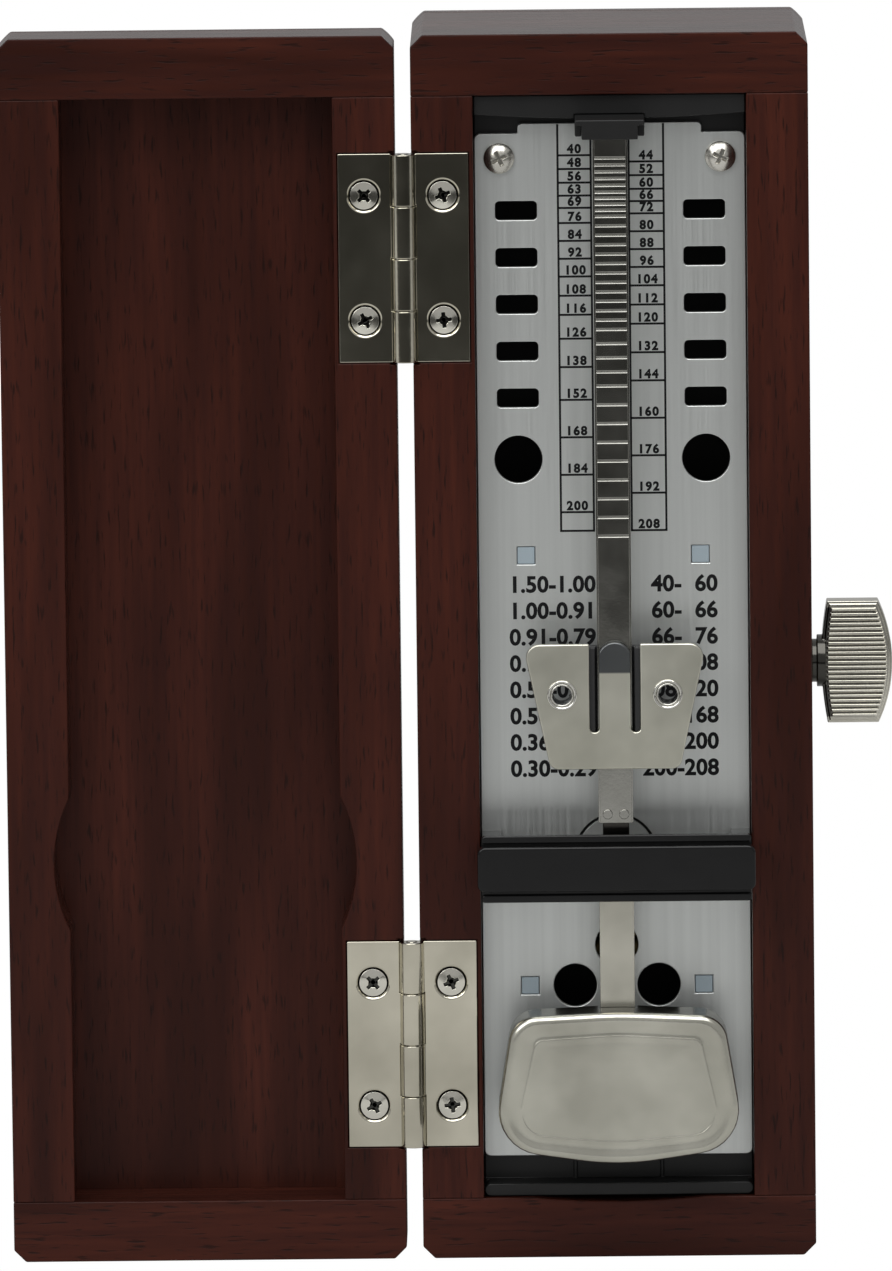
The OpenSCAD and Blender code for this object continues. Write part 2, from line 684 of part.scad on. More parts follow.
// the outline, set in all round by "in"
function counter_outline(in) = let (
        half = [for (p = counter_half) [p[0] - in,
            counter_z + p[1] + (p[1] > counter_h / 2 ? -in : in * 0.6), p[2] - in * 0.8]])
    rounded([[0, counter_z + counter_h - in, 60 - 8 * in], each half, [0, counter_z + in, 34],
        for (k = [1 : -1 : 0]) [-half[k][0], half[k][1], half[k][2]]]);

// pressed shell, open at the back, its front rim rounded in two steps, a raised line on its face
module counterweight_shell() color("#bdb9ae") {
    difference() {
        union() {
            upright(counter_s, counter_s + counter_t - 0.8) polygon(counter_outline(0));
            upright(counter_s, counter_s + counter_t - 0.35) polygon(counter_outline(0.25));
            upright(counter_s, counter_s + counter_t) polygon(counter_outline(0.8));
        }
        upright(counter_s - 1, counter_s + counter_t - counter_wall - 0.3)
            polygon(counter_outline(counter_wall + 0.3));
        block(-rod_w / 2 - clear, rod_w / 2 + clear, counter_s - 1, rod_s + clear,
            counter_z + counter_h / 2, counter_z + counter_h + 1);
    }
    upright(counter_s + counter_t - eps, counter_s + counter_t + bead_t) difference() {
        polygon(counter_outline(bead_in));
        polygon(counter_outline(bead_in + bead_w));
    }
}

// lead slug cast into the shell, in front of the lever
module counterweight_slug() color("#6a6c70")
    upright(rod_s, counter_s + counter_t - counter_wall - 0.3)
        polygon(counter_outline(counter_wall + 0.4));

// ---------- sliding weight ----------

face_t = 0.8;
weight_s0 = 2.2;     // back of the weight
weight_s1 = 5;       // back of its face sheet
eyelet_x = weight_w1 / 2 - 4.7;
eyelet_z = weight_z + 9.1;
eyelet_d = 2.8;
tongue_w = 3.85;
slit_w = 1.15;

function weight_outline(in) = rounded([
    [-weight_w0 / 2 + in, weight_z + in, 1.2], [weight_w0 / 2 - in, weight_z + in, 1.2],
    [weight_w1 / 2 - in, weight_z + weight_h - in, 1.6],
    [-weight_w1 / 2 + in, weight_z + weight_h - in, 1.6]]);

// pressed face with a spring tongue whose nose catches the rod's notches
module sliding_weight_face() color("#c6c3ba")
    difference() {
        union() {
            upright(weight_s1, weight_s1 + face_t) difference() {
                polygon(weight_outline(0));
                for (x = [-1, 1])
                    translate([x * (tongue_w + slit_w) / 2, weight_z + 5.1]) {
                        circle(d = slit_w);
                        translate([-slit_w / 2, 0]) square([slit_w, 20]);
                    }
                translate([-tongue_w / 2 - eps, weight_z + weight_h - 1.2])
                    square([tongue_w + 2 * eps, 5]);
            }
            // the tongue's arched end
            upright(weight_s1, weight_s1 + face_t) intersection() {
                translate([0, weight_z + weight_h - 1.9]) circle(d = tongue_w + 0.3);
                translate([-tongue_w / 2, weight_z + weight_h - 1.4]) square([tongue_w, 4]);
            }
            block(-1.2, 1.2, rod_s + rod_t + run, weight_s1 + eps,
                weight_z + weight_h - 1.2, weight_z + weight_h - 0.7);
        }
        for (x = [-1, 1])
            bar_s(x * eyelet_x, eyelet_z, weight_s0 - 1, weight_s1 + face_t + 1,
                eyelet_d + 2 * run);
    }

// cast block behind the face, grooved for the rod
module sliding_weight_block() color("#8e8b84")
    difference() {
        upright(weight_s0, weight_s1) polygon(weight_outline(0.5));
        block(-rod_w / 2 - 0.25, rod_w / 2 + 0.25, rod_s - 0.25, weight_s1 + 1,
            weight_z - 1, weight_z + weight_h + 1);
        for (x = [-1, 1])
            bar_s(x * eyelet_x, eyelet_z, weight_s0 - 1, weight_s1 + face_t + 1,
                eyelet_d + 2 * run);
    }

// two hollow rivets that hold the face on the block
module weight_eyelets() color("#d0cdc3")
    for (x = [-1, 1])
        difference() {
            union() {
                bar_s(x * eyelet_x, eyelet_z, weight_s0, weight_s1 + face_t, eyelet_d);
                bar_s(x * eyelet_x, eyelet_z, weight_s1 + face_t, weight_s1 + face_t + 0.25,
                    eyelet_d * 1.2);
            }
            bar_s(x * eyelet_x, eyelet_z, weight_s0 - 1, weight_s1 + face_t + 1, eyelet_d * 0.8);
        }

// ---------- winding key ----------

arbor_r = 1.5;
key_w = 8.65;                    // width of the thumb piece at its middle
key_x0 = case_w / 2 + 1.45;      // inner edge of the thumb piece at its middle
key_x1 = key_x0 + key_w;         // outer edge at its middle
key_border = 0.7;                // plain border round the ribs
rib_t = 0.5;                     // height of the ribs over the blank

// the thumb piece seen from the front: two shallow arcs, flat ends, inset by "in"
module key_outline(in) {
    r0 = 40;
    r1 = 17.4;
    intersection() {
        translate([key_x0 + in + r0, key_z]) circle(r0, $fn = 180);
        translate([key_x1 - in - r1, key_z]) circle(r1, $fn = 128);
        translate([key_x0 - key_w, key_z - key_h / 2 + in])
            square([3 * key_w, key_h - 2 * in]);
    }
}

rib_step = (key_h - 2 * key_border) / key_ribs;
hub_r = 3.2;
arbor_x1 = case_w / 2 + 6.8;     // outer end of the barrel arbor, inside the key

// cast thumb piece, ribbed on both faces, with a stepped hub
module winding_key() color("#beb7a8")
    difference() {
        union() {
            translate([0, train_y - fy, 0]) {
                upright(-key_t / 2, key_t / 2) key_outline(0);
                upright(-key_t / 2 - 0.15, key_t / 2 + 0.15) key_outline(key_border / 2);
                intersection() {
                    upright(-key_t / 2 - rib_t, key_t / 2 + rib_t) key_outline(key_border);
                    for (k = [0 : key_ribs - 1])
                        block(key_x0, key_x1, -key_t, key_t,
                            key_z + (k + 0.25 - key_ribs / 2) * rib_step,
                            key_z + (k + 0.75 - key_ribs / 2) * rib_step);
                }
            }
            bar_x(key_z, case_w / 2 + 0.25, case_w / 2 + 0.9, hub_r * 1.66);
            bar_x(key_z, case_w / 2 + 0.9 - eps, key_x0 + 0.5, hub_r * 2);
        }
        bar_x(key_z, 0, arbor_x1 + 0.2, 2 * arbor_r + 2 * run);
    }

// turned bush in the case's side where the arbor comes out
module key_bush() color("#a9905a")
    difference() {
        bar_x(key_z, pocket_w / 2, case_w / 2 + 0.15, bush_d);
        bar_x(key_z, 0, case_w, 2 * arbor_r + 0.3);
    }

// ---------- movement: frame ----------

frame_t = 1.2;
frame_y1 = inner_d / 2 - 1.25;       // the frame plates' edges, from the train's axis
frame_z0 = pivot_z - 15.1;
frame_z1 = key_z + 17.5;
pillar_d = 1.6;
pillar_y = frame_y1 - 2;
pillar_z = [frame_z0 + 3, frame_z1 - 3.4];
pivot_d = 1;                         // pivots of the two wheel arbors
wheel_arbor_d = 1.6;
potence_d = 2;                       // the bar that carries the potence
potence_z = pivot_z - 11.1;

module frame_shape() difference() {
    translate([0, (frame_z0 + frame_z1) / 2])
        round_rect(2 * frame_y1, frame_z1 - frame_z0, 2);
    for (y = [-1, 1]) translate([y * frame_y1 * 0.64, middle_z - 1.4]) circle(d = frame_y1 / 2);
    translate([0, potence_z]) circle(d = potence_d + 2 * run);
    for (y = [-1, 1], z = pillar_z)
        translate([y * pillar_y, z]) circle(d = pillar_d + 2 * run);
}

module frame_plate_left() color("#b89a4e")
    difference() {
        across(0, -frame_x, -frame_x + frame_t) frame_shape();
        bar_x(key_z, -case_w, 0, 2 + 2 * run);
        bar_x(middle_z, -case_w, 0, pivot_d + 2 * run);
    }

module frame_plate_right() color("#b89a4e")
    difference() {
        across(0, frame_x - frame_t, frame_x) frame_shape();
        bar_x(key_z, 0, case_w, 2 * arbor_r + 2 * run);
        bar_x(middle_z, 0, case_w, pivot_d + 2 * run);
        bar_x(pivot_z, 0, case_w, pivot_d + 2 * run);
        translate([0, click_y, click_z]) bar_x(0, 0, case_w, click_pin_d + 2 * run);
    }

// four shouldered pillars, and one plain bar that carries the potence
module frame_pillars() color("#c8ad63") {
    for (y = [-1, 1], z = pillar_z) translate([0, y * pillar_y, 0]) {
        bar_x(z, -frame_x, frame_x, pillar_d);
        bar_x(z, -frame_x + frame_t, frame_x - frame_t, pillar_d + 1.2);
    }
    bar_x(potence_z, -frame_x, frame_x, potence_d);
}

potence_x = [crown_x[0] * 0.43, crown_x[0] * 0.8];

// upright bracket that holds the crown wheel's inner pivot
module potence() color("#c8ad63")
    difference() {
        across(0, potence_x[0], potence_x[1]) union() {
            translate([-1.7, potence_z]) square([3.4, pivot_z - potence_z]);
            translate([0, pivot_z]) circle(1.7);
            translate([0, potence_z]) circle(2.2);
        }
        bar_x(potence_z, 0, 5, potence_d + 2 * run);
        bar_x(pivot_z, 0, 5, pivot_d + 2 * run);
    }

// brass bush in the tub's back wall for the pendulum arbor's rear pivot
module rear_bush() color("#c8ad63")
    difference() {
        bar_s(0, pivot_z, -tub_back, -tub_back + 2 * tub_wall, rear_bush_d);
        bar_s(0, pivot_z, -arbor_back - 0.2, 0, arbor_d * 0.6 + 2 * run);
    }

// ---------- movement: winding work ----------

ratchet_teeth = 16;
ratchet_r = 5;
ratchet_x = [frame_x * 0.69, frame_x * 0.78];
click_y = 5.9;
click_z = key_z + 5.6;
click_pin_d = 1.2;

// winding arbor: left pivot, thick part inside the barrel, long end for the key
module barrel_arbor() color("#a9a69d") {
    bar_x(key_z, -frame_x, drum_x0 - 0.4, 2);
    bar_x(key_z, drum_x0 - 0.4 - eps, arbor_x1, 2 * arbor_r);
}

module ratchet_wheel() color("#9b978c")
    across(key_z, ratchet_x[0], ratchet_x[1]) difference() {
        polygon([for (k = [0 : ratchet_teeth - 1], e = [0, 1])
            let (a = 360 / ratchet_teeth * (k + (e ? 0.12 : 0)), r = ratchet_r - (e ? 0.9 : 0))
            [r * cos(a), r * sin(a)]]);
        circle(r = arbor_r + run);
    }

// pawl on the right frame plate, its tip at the edge of the ratchet wheel
module click() color("#8f8c85")
    difference() {
        union() {
            across(0, ratchet_x[0], ratchet_x[1])
                translate([click_y, click_z]) circle(d = 2.6);
            across(0, ratchet_x[0], ratchet_x[1])
                polygon([[click_y - 1, click_z - 0.3], [click_y - 0.3, click_z - 1],
                    [4.35, key_z + 3.15], [3.75, key_z + 3.95]]);
        }
        translate([0, click_y, click_z]) bar_x(0, 0, case_w, click_pin_d + 2 * run);
    }

module click_pin() color("#a9a69d")
    translate([0, click_y, click_z]) {
        bar_x(0, ratchet_x[0] - 0.5, frame_x, click_pin_d);
        bar_x(0, ratchet_x[0] - 0.8, ratchet_x[0] - 0.1, click_pin_d + 1);
    }

// bent leaf spring that presses on the click's back
module click_spring() color("#7f8a94") {
    across(0, ratchet_x[0] + 0.2, frame_x - frame_t)
        translate([click_y + 1.2, click_z + 4.6]) square([1.6, 1.6]);
    across(0, ratchet_x[0] + 0.2, ratchet_x[1] - 0.2)
        polygon([[click_y + 1.2, click_z + 4.9], [click_y + 1.2, click_z + 4.6],
            [click_y + 1.7, click_z + 1], [click_y + 1.34, click_z - 0.1],
            [click_y + 1.5, click_z - 0.15], [click_y + 2.05, click_z + 1],
            [click_y + 1.6, click_z + 4.9]]);
}

// ---------- movement: going train ----------

drum_x0 = -frame_x * 0.695;
drum_x1 = frame_x * 0.106;
drum_r = great_teeth * module_1 / 2 - 0.9;
drum_wall = 0.6;
great_x1 = drum_x1 + 1.4;
second_x = [frame_x * 0.503, frame_x * 0.583];

// involute angle in degrees at radius r for base radius b
function involute(r, b) = r <= b ? 0 : let (a = acos(b / r)) tan(a) * 180 / PI - a;

// outline of a spur gear with n teeth of module m, tooth 0 pointing along X
function gear_outline(n, m) = let (
        rp = n * m / 2, rb = rp * cos(20), ra = rp + tooth_top * m, rf = rp - m,
        half = 90 / n - backlash / 2 / rp * 90 / PI + involute(rp, rb))
    [for (k = [0 : n - 1], q = [[rf, 1], [rb, 1], [(rb + rp) / 2, 1], [rp, 1], [(rp + ra) / 2, 1],
            [ra, 1], [ra, -1], [(rp + ra) / 2, -1], [rp, -1], [(rb + rp) / 2, -1], [rb, -1], [rf, -1]])
        let (r = max(q[0], rf), a = 360 / n * k - q[1] * (half - involute(r, rb)))
        [r * cos(a), r * sin(a)]];

module great_wheel() color("#b89a4e")
    across(key_z, drum_x1, great_x1) difference() {
        rotate(-90) polygon(gear_outline(great_teeth, module_1));
        circle(r = arbor_r + run);
    }

// round box of the mainspring, open to the left
module barrel_drum() color("#c8ad63")
    difference() {
        bar_x(key_z, drum_x0, drum_x1, 2 * drum_r);
        bar_x(key_z, drum_x0 - 1, drum_x1 - drum_wall, 2 * (drum_r - drum_wall));
        bar_x(key_z, 0, 5, 2 * arbor_r + 2 * run);
    }

// lid pressed into the drum's open end
module barrel_cover() color("#b89a4e")
    difference() {
        bar_x(key_z, drum_x0, drum_x0 + drum_wall, 2 * (drum_r - drum_wall) - 2 * run);
        bar_x(key_z, drum_x0 - 1, 0, 2 * arbor_r + 2 * run);
    }

spring_turns = 6;
spring_t = 0.35;
spring_r0 = 2.2;
spring_r1 = drum_r - drum_wall - spring_t - 0.02;

spring_steps = 24;   // straight stretches in one turn

// one side of the ribbon, starting at radius r
function spiral(r) = [for (k = [0 : spring_turns * spring_steps])
    let (a = 360 * k / spring_steps,
        q = r + (spring_r1 - spring_r0) * k / (spring_turns * spring_steps))
    [q * cos(a), q * sin(a)]];

// coiled steel ribbon, its outer end on the drum's wall
module mainspring() color("#5f6f7d")
    across(key_z, drum_x0 + 1, drum_x1 - 1) polygon(let (
            outside = spiral(spring_r0 + spring_t),
            inside = spiral(spring_r0))
        concat(outside, [for (k = [len(inside) - 1 : -1 : 0]) inside[k]]));

// arbor with its pinion, which the great wheel drives
module intermediate_arbor() color("#a9a69d") {
    bar_x(middle_z, -frame_x, frame_x, pivot_d);
    bar_x(middle_z, -frame_x + frame_t + 0.2, frame_x - frame_t - 0.2, wheel_arbor_d);
    across(middle_z, drum_x1 - 0.4, great_x1 + 0.6)
        rotate(90 + 180 / pinion_teeth) polygon(gear_outline(pinion_teeth, module_1));
}

module intermediate_wheel() color("#b89a4e")
    across(middle_z, second_x[0], second_x[1]) difference() {
        rotate(-90) polygon(gear_outline(second_teeth, module_2));
        circle(d = wheel_arbor_d + 2 * run);
        for (a = [45 : 90 : 315])
            rotate(a) translate([14 * module_2, 0]) circle(d = 13 * module_2);
    }

// arbor of the crown wheel with its pinion, from the potence to the right plate
module crown_arbor() color("#a9a69d") {
    bar_x(pivot_z, potence_x[0], frame_x, pivot_d);
    bar_x(pivot_z, potence_x[1] + 0.2, frame_x - frame_t - 0.2, wheel_arbor_d);
    across(pivot_z, second_x[0] - 0.5, second_x[1] + 0.5)
        rotate(90 + 180 / pinion_teeth) polygon(gear_outline(pinion_teeth, module_2));
}

// cup-shaped escape wheel whose saw teeth point along its axis
module crown_wheel() color("#c8ad63")
    difference() {
        union() {
            difference() {
                bar_x(pivot_z, crown_x[0], crown_x[1], 2 * crown_r);
                bar_x(pivot_z, crown_x[0] - 1, crown_x[1] - 0.6, 2 * (crown_r - 0.5));
            }
            bar_x(pivot_z, crown_x[1] - 1.4, crown_x[1], 3.4);
        }
        bar_x(pivot_z, 0, 10, wheel_arbor_d + 2 * run);
        translate([crown_x[0], train_y, pivot_z]) for (k = [0 : crown_teeth - 1])
            rotate([360 / crown_teeth * k, 0, 0]) translate([0, 0, crown_r - 1]) linear_extrude(3)
                polygon([[-1, 0.3], [-1, 1.9], [1.4, 0.3]]);
    }

// ---------- the nodes ----------

case_back_panel();
case_left_stile();
case_right_stile();
case_top_rail();
case_bottom_rail();
lid_panel();
lid_hinge_stile();
lid_free_stile();
lid_top_rail();
lid_bottom_rail();
hinge_top_case_leaf();
hinge_top_lid_leaf();
hinge_top_pin();
hinge_bottom_case_leaf();
hinge_bottom_lid_leaf();
hinge_bottom_pin();
hinge_screws_case();
hinge_screws_lid();
movement_tub();
scale_plate();
plate_screws();
plate_pegs();
pivot_bridge();
bridge_screws();
pendulum_clip();
pendulum_rod();
pendulum_lever();
lever_rivets();
pendulum_arbor();
pendulum_collet();
verge_pallets();
counterweight_shell();
counterweight_slug();
sliding_weight_face();
sliding_weight_block();
weight_eyelets();
winding_key();
barrel_arbor();
ratchet_wheel();
key_bush();
frame_plate_left();
frame_plate_right();
frame_pillars();
potence();
rear_bush();
click();
click_pin();
click_spring();
barrel_drum();
barrel_cover();
great_wheel();
mainspring();
intermediate_arbor();
intermediate_wheel();
crown_arbor();
crown_wheel();
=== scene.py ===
import bpy, bmesh, math
from mathutils import Matrix, Vector


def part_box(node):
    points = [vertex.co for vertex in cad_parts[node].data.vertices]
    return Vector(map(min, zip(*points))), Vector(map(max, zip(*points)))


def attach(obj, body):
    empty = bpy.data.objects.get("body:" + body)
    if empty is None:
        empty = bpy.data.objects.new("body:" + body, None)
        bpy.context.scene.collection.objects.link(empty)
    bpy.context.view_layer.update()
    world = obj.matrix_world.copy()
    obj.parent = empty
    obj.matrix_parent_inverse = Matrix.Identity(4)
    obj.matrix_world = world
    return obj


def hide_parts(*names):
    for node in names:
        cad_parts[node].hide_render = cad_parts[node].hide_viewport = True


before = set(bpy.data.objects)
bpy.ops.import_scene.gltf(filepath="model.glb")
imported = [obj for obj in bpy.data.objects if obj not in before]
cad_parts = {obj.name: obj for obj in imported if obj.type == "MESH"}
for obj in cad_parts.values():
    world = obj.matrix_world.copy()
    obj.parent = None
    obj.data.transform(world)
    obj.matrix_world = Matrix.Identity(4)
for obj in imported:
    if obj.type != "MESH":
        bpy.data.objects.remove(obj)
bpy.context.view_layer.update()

# ---------- case boards ----------
# Five hardwood boards glued up as an open-fronted box, their edges eased and the
# outside stained dark red-brown under a thin satin lacquer.

MM = 0.001
BOARD_EDGE = 0.18 * MM              # rounding of the boards' edges


def group(name, inputs, outputs):
    """A node group with the given sockets: its tree, input node and output node."""
    tree = bpy.data.node_groups.new(name, "ShaderNodeTree")
    for socket, kind, value in inputs:
        made = tree.interface.new_socket(socket, in_out="INPUT", socket_type=kind)
        if value is not None:
            made.default_value = value
    for socket, kind in outputs:
        tree.interface.new_socket(socket, in_out="OUTPUT", socket_type=kind)
    return tree, tree.nodes.new("NodeGroupInput"), tree.nodes.new("NodeGroupOutput")


def noise(tree, vector, scale, detail, stretch=(1, 1, 1)):
    """Noise on a vector, stretched first; the socket with its value."""
    place = tree.nodes.new("ShaderNodeMapping")
    place.inputs["Scale"].default_value = stretch
    texture = tree.nodes.new("ShaderNodeTexNoise")
    texture.inputs["Scale"].default_value = scale
    texture.inputs["Detail"].default_value = detail
    tree.links.new(vector, place.inputs["Vector"])
    tree.links.new(place.outputs["Vector"], texture.inputs["Vector"])
    return texture.outputs["Fac"]


def remap(tree, value, low, high, to_low, to_high):
    """A value moved from one range to another, clamped."""
    node = tree.nodes.new("ShaderNodeMapRange")
    for socket, number in zip(("From Min", "From Max", "To Min", "To Max"),
                              (low, high, to_low, to_high)):
        node.inputs[socket].default_value = number
    tree.links.new(value, node.inputs["Value"])
    return node.outputs["Result"]


def worked(tree, operation, *values):
    """The result of a math node; each value is a socket or a number."""
    node = tree.nodes.new("ShaderNodeMath")
    node.operation = operation
    for socket, value in zip(node.inputs, values):
        if isinstance(value, (int, float)):
            socket.default_value = value
        else:
            tree.links.new(value, socket)
    return node.outputs["Value"]


def blend(tree, share, colour_a, colour_b, mode="MIX"):
    """Two colours mixed by a share; a colour is a socket or a tuple, a share a socket or number."""
    node = tree.nodes.new("ShaderNodeMix")
    node.data_type, node.blend_type = "RGBA", mode
    for socket, colour in (("A_Color", colour_a), ("B_Color", colour_b)):
        target = next(i for i in node.inputs if i.identifier == socket)
        if isinstance(colour, tuple):
            target.default_value = (*colour, 1)
        else:
            tree.links.new(colour, target)
    if isinstance(share, float):
        node.inputs["Factor"].default_value = share
    else:
        tree.links.new(share, node.inputs["Factor"])
    return next(o for o in node.outputs if o.identifier == "Result_Color")


# grain that runs along the vector's Z: broad flame, fine streaks and short dark pores
grain, start, end = group("Grain", [("Vector", "NodeSocketVector", None)],
                          [("Color", "NodeSocketColor"), ("Roughness", "NodeSocketFloat"),
                           ("Height", "NodeSocketFloat")])
flame = noise(grain, start.outputs["Vector"], scale=1, detail=4, stretch=(150, 150, 16))
streak = noise(grain, start.outputs["Vector"], scale=1, detail=3, stretch=(1300, 1300, 60))
pores = noise(grain, start.outputs["Vector"], scale=1, detail=1, stretch=(2600, 2600, 330))
pores = remap(grain, pores, 0.6, 0.72, 0, 1)
DARK_WOOD, RED_WOOD = (0.0205, 0.0048, 0.0027), (0.0480, 0.0112, 0.0062)
STREAK_WOOD, PORE_WOOD = (0.0170, 0.0040, 0.0030), (0.0080, 0.0030, 0.0022)
stain = blend(grain, remap(grain, flame, 0.35, 0.68, 0, 1), DARK_WOOD, RED_WOOD)
stain = blend(grain, remap(grain, streak, 0.3, 0.7, 0, 0.55), stain, STREAK_WOOD)
stain = blend(grain, remap(grain, pores, 0, 1, 0, 0.7), stain, PORE_WOOD)
grain.links.new(stain, end.inputs["Color"])
grain.links.new(remap(grain, streak, 0.3, 0.7, 0.36, 0.5), end.inputs["Roughness"])
grain.links.new(remap(grain, pores, 0, 1, 1, 0), end.inputs["Height"])


def new_material(name, metallic=0.0, **sockets):
    """A material with its tree, its Principled shader and its object coordinates."""
    made = bpy.data.materials.new(name)
    made.use_nodes = True
    tree = made.node_tree
    shader = tree.nodes["Principled BSDF"]
    shader.inputs["Metallic"].default_value = metallic
    for socket, value in sockets.items():
        shader.inputs[socket.replace("_", " ")].default_value = value
    return made, tree, shader, tree.nodes.new("ShaderNodeTexCoord").outputs["Object"]


def bumped(tree, shader, height, depth):
    """Feeds a height to the shader's normal through a bump."""
    node = tree.nodes.new("ShaderNodeBump")
    node.inputs["Distance"].default_value = depth
    node.inputs["Strength"].default_value = 1.0
    tree.links.new(height, node.inputs["Height"])
    tree.links.new(node.outputs["Normal"], shader.inputs["Normal"])


def wood(name, turn=(0, 0, 0), move=(0, 0, 0)):
    """Stained wood with its grain along Z, or turned to another axis."""
    made, tree, shader, place = new_material(name, Specular_IOR_Level=0.05,
                                             Coat_Weight=1.0, Coat_IOR=1.16, Coat_Roughness=0.25)
    put = tree.nodes.new("ShaderNodeMapping")
    put.inputs["Rotation"].default_value = turn
    put.inputs["Location"].default_value = move
    look = tree.nodes.new("ShaderNodeGroup")
    look.node_tree = grain
    tree.links.new(place, put.inputs["Vector"])
    tree.links.new(put.outputs["Vector"], look.inputs["Vector"])
    tree.links.new(look.outputs["Color"], shader.inputs["Base Color"])
    tree.links.new(look.outputs["Roughness"], shader.inputs["Roughness"])
    bumped(tree, shader, look.outputs["Height"], 0.04 * MM)
    return made


SEAM = 0.025 * MM                   # corners closer than this are one
FLAT = math.radians(0.6)            # faces that differ by less than this are one
ALIKE = 0.96                        # edges closer in direction than this cosine make a sliver
ROUND = 60                          # roundings are smoothed across angles up to this


def merged(node):
    """A CAD node's own solid as a bmesh, its seams merged and its flat faces joined."""
    bm = bmesh.new()
    bm.from_mesh(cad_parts[node].data)
    bmesh.ops.remove_doubles(bm, verts=bm.verts, dist=SEAM)
    bmesh.ops.dissolve_limit(bm, angle_limit=FLAT, verts=bm.verts, edges=bm.edges,
                             use_dissolve_boundaries=False)
    bmesh.ops.recalc_face_normals(bm, faces=bm.faces)
    return bm


def finished(node, body, material, edge=0.0, segments=3):
    """Shows a CAD node by a piece made from its own solid: edges rounded, faces smoothed."""
    placed(merged(node), node + ".shown", body, material, edge, segments,
           replaced=[node])


def eased(bm, edge, segments=3, angle=40):
    """Rounds a bmesh's sharp edges and marks the faces of the rounding."""
    low, high = (Vector(f(v.co[k] for v in bm.verts) for k in range(3)) for f in (min, max))
    mark = bm.faces.layers.int.new("rounding")
    sharp = {e for e in bm.edges if e.is_manifold and e.calc_face_angle() > math.radians(angle)}
    for vert in bm.verts:               # edges that meet in a sliver can't be rounded
        ways = [(e, (e.other_vert(vert).co - vert.co).normalized())
                for e in vert.link_edges if e in sharp]
        sharp.difference_update([e for e, way in ways for f, other in ways
                                 if e is not f and way.dot(other) > ALIKE])
    made = bmesh.ops.bevel(bm, geom=list(sharp), offset=edge, offset_type="OFFSET",
                           affect="EDGES", segments=segments, profile=0.5, material=-1,
                           loop_slide=False, clamp_overlap=False)["faces"]
    for face in made:
        face[mark] = 1
    for vert in bm.verts:               # the rounding never sticks out of the piece's box
        vert.co = Vector(min(max(vert.co[k], low[k]), high[k]) for k in range(3))


def placed(bm, name, body, material, edge=0.0, segments=3, angle=40, replaced=()):
    """Makes a bmesh an object that rides on a body, its sharp edges rounded and its faces
    smoothed; flat faces keep their own normal right up to the rounding."""
    if edge:
        eased(bm, edge, segments, angle)
    bm.normal_update()
    mark = bm.faces.layers.int.get("rounding") or bm.faces.layers.int.new("rounding")
    areas = {face: face.calc_area() for face in bm.faces}
    normals = []
    for face in bm.faces:
        face.smooth = True
        least = math.cos(math.radians(ROUND if face[mark] else angle))
        for corner in face.loops:
            near = [f for f in corner.vert.link_faces if f.normal.dot(face.normal) > least]
            near = [f for f in near if not f[mark]] or near
            total = sum((f.normal * areas[f] for f in near), Vector())
            normals.append(total.normalized() if total.length > 0 else face.normal.copy())
    bm.faces.layers.int.remove(mark)
    mesh = bpy.data.meshes.new(name)
    bm.to_mesh(mesh)
    bm.free()
    mesh.normals_split_custom_set(normals)
    mesh.materials.append(material)
    piece = bpy.data.objects.new(name, mesh)
    bpy.context.scene.collection.objects.link(piece)
    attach(piece, body)
    if replaced:
        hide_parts(*replaced)


upright_wood = wood("wood_upright")
panel_wood = wood("wood_panel", move=(0.31, 0.17, 0.05))
level_wood = wood("wood_level", turn=(0, math.pi / 2, 0))
for node, material in (("case_left_stile", upright_wood), ("case_right_stile", upright_wood),
                       ("case_top_rail", level_wood), ("case_bottom_rail", level_wood),
                       ("case_back_panel", panel_wood)):
    finished(node, "case", material, edge=BOARD_EDGE)

# ---------- lid boards ----------
# The lid is a shallow tray of the same wood: four boards round a thin panel, with a
# scoop on each side of the recess where a finger lifts the closed lid.

for node, material in (("lid_hinge_stile", upright_wood), ("lid_free_stile", upright_wood),
                       ("lid_top_rail", level_wood), ("lid_bottom_rail", level_wood),
                       ("lid_panel", panel_wood)):
    finished(node, "lid", material, edge=BOARD_EDGE)

# ---------- hinges and their screws ----------
# Two nickel-plated butt hinges with rolled knuckles, let into the boards and held
# by cross-head wood screws with low domed heads, their recesses painted dark as shade.

# cloudy tone, smudges and a fine surface, for metals and plastics
wear, start, end = group("Wear", [("Vector", "NodeSocketVector", None),
                                  ("Roughness", "NodeSocketFloat", 0.3)],
                         [("Roughness", "NodeSocketFloat"), ("Height", "NodeSocketFloat"),
                          ("Shade", "NodeSocketColor")])
cloud = noise(wear, start.outputs["Vector"], scale=110, detail=3)
smudge = noise(wear, start.outputs["Vector"], scale=320, detail=3)
speck = noise(wear, start.outputs["Vector"], scale=2600, detail=2)
wear.links.new(worked(wear, "ADD", start.outputs["Roughness"],
                      remap(wear, smudge, 0.3, 0.7, -0.015, 0.03)), end.inputs["Roughness"])
wear.links.new(speck, end.inputs["Height"])
wear.links.new(blend(wear, remap(wear, cloud, 0.3, 0.7, 0, 1), (0.84, 0.84, 0.82),
                     (1.18, 1.18, 1.17)), end.inputs["Shade"])


def surfaced(name, finish, metallic, roughness, depth, **sockets):
    """A material with a finish group: material, tree, shader, object coordinates and shade."""
    made, tree, shader, place = new_material(name, metallic, **sockets)
    look = tree.nodes.new("ShaderNodeGroup")
    look.node_tree = finish
    look.inputs["Roughness"].default_value = roughness
    tree.links.new(place, look.inputs["Vector"])
    tree.links.new(look.outputs["Roughness"], shader.inputs["Roughness"])
    bumped(tree, shader, look.outputs["Height"], depth * MM)
    return made, tree, shader, place, look.outputs["Shade"]


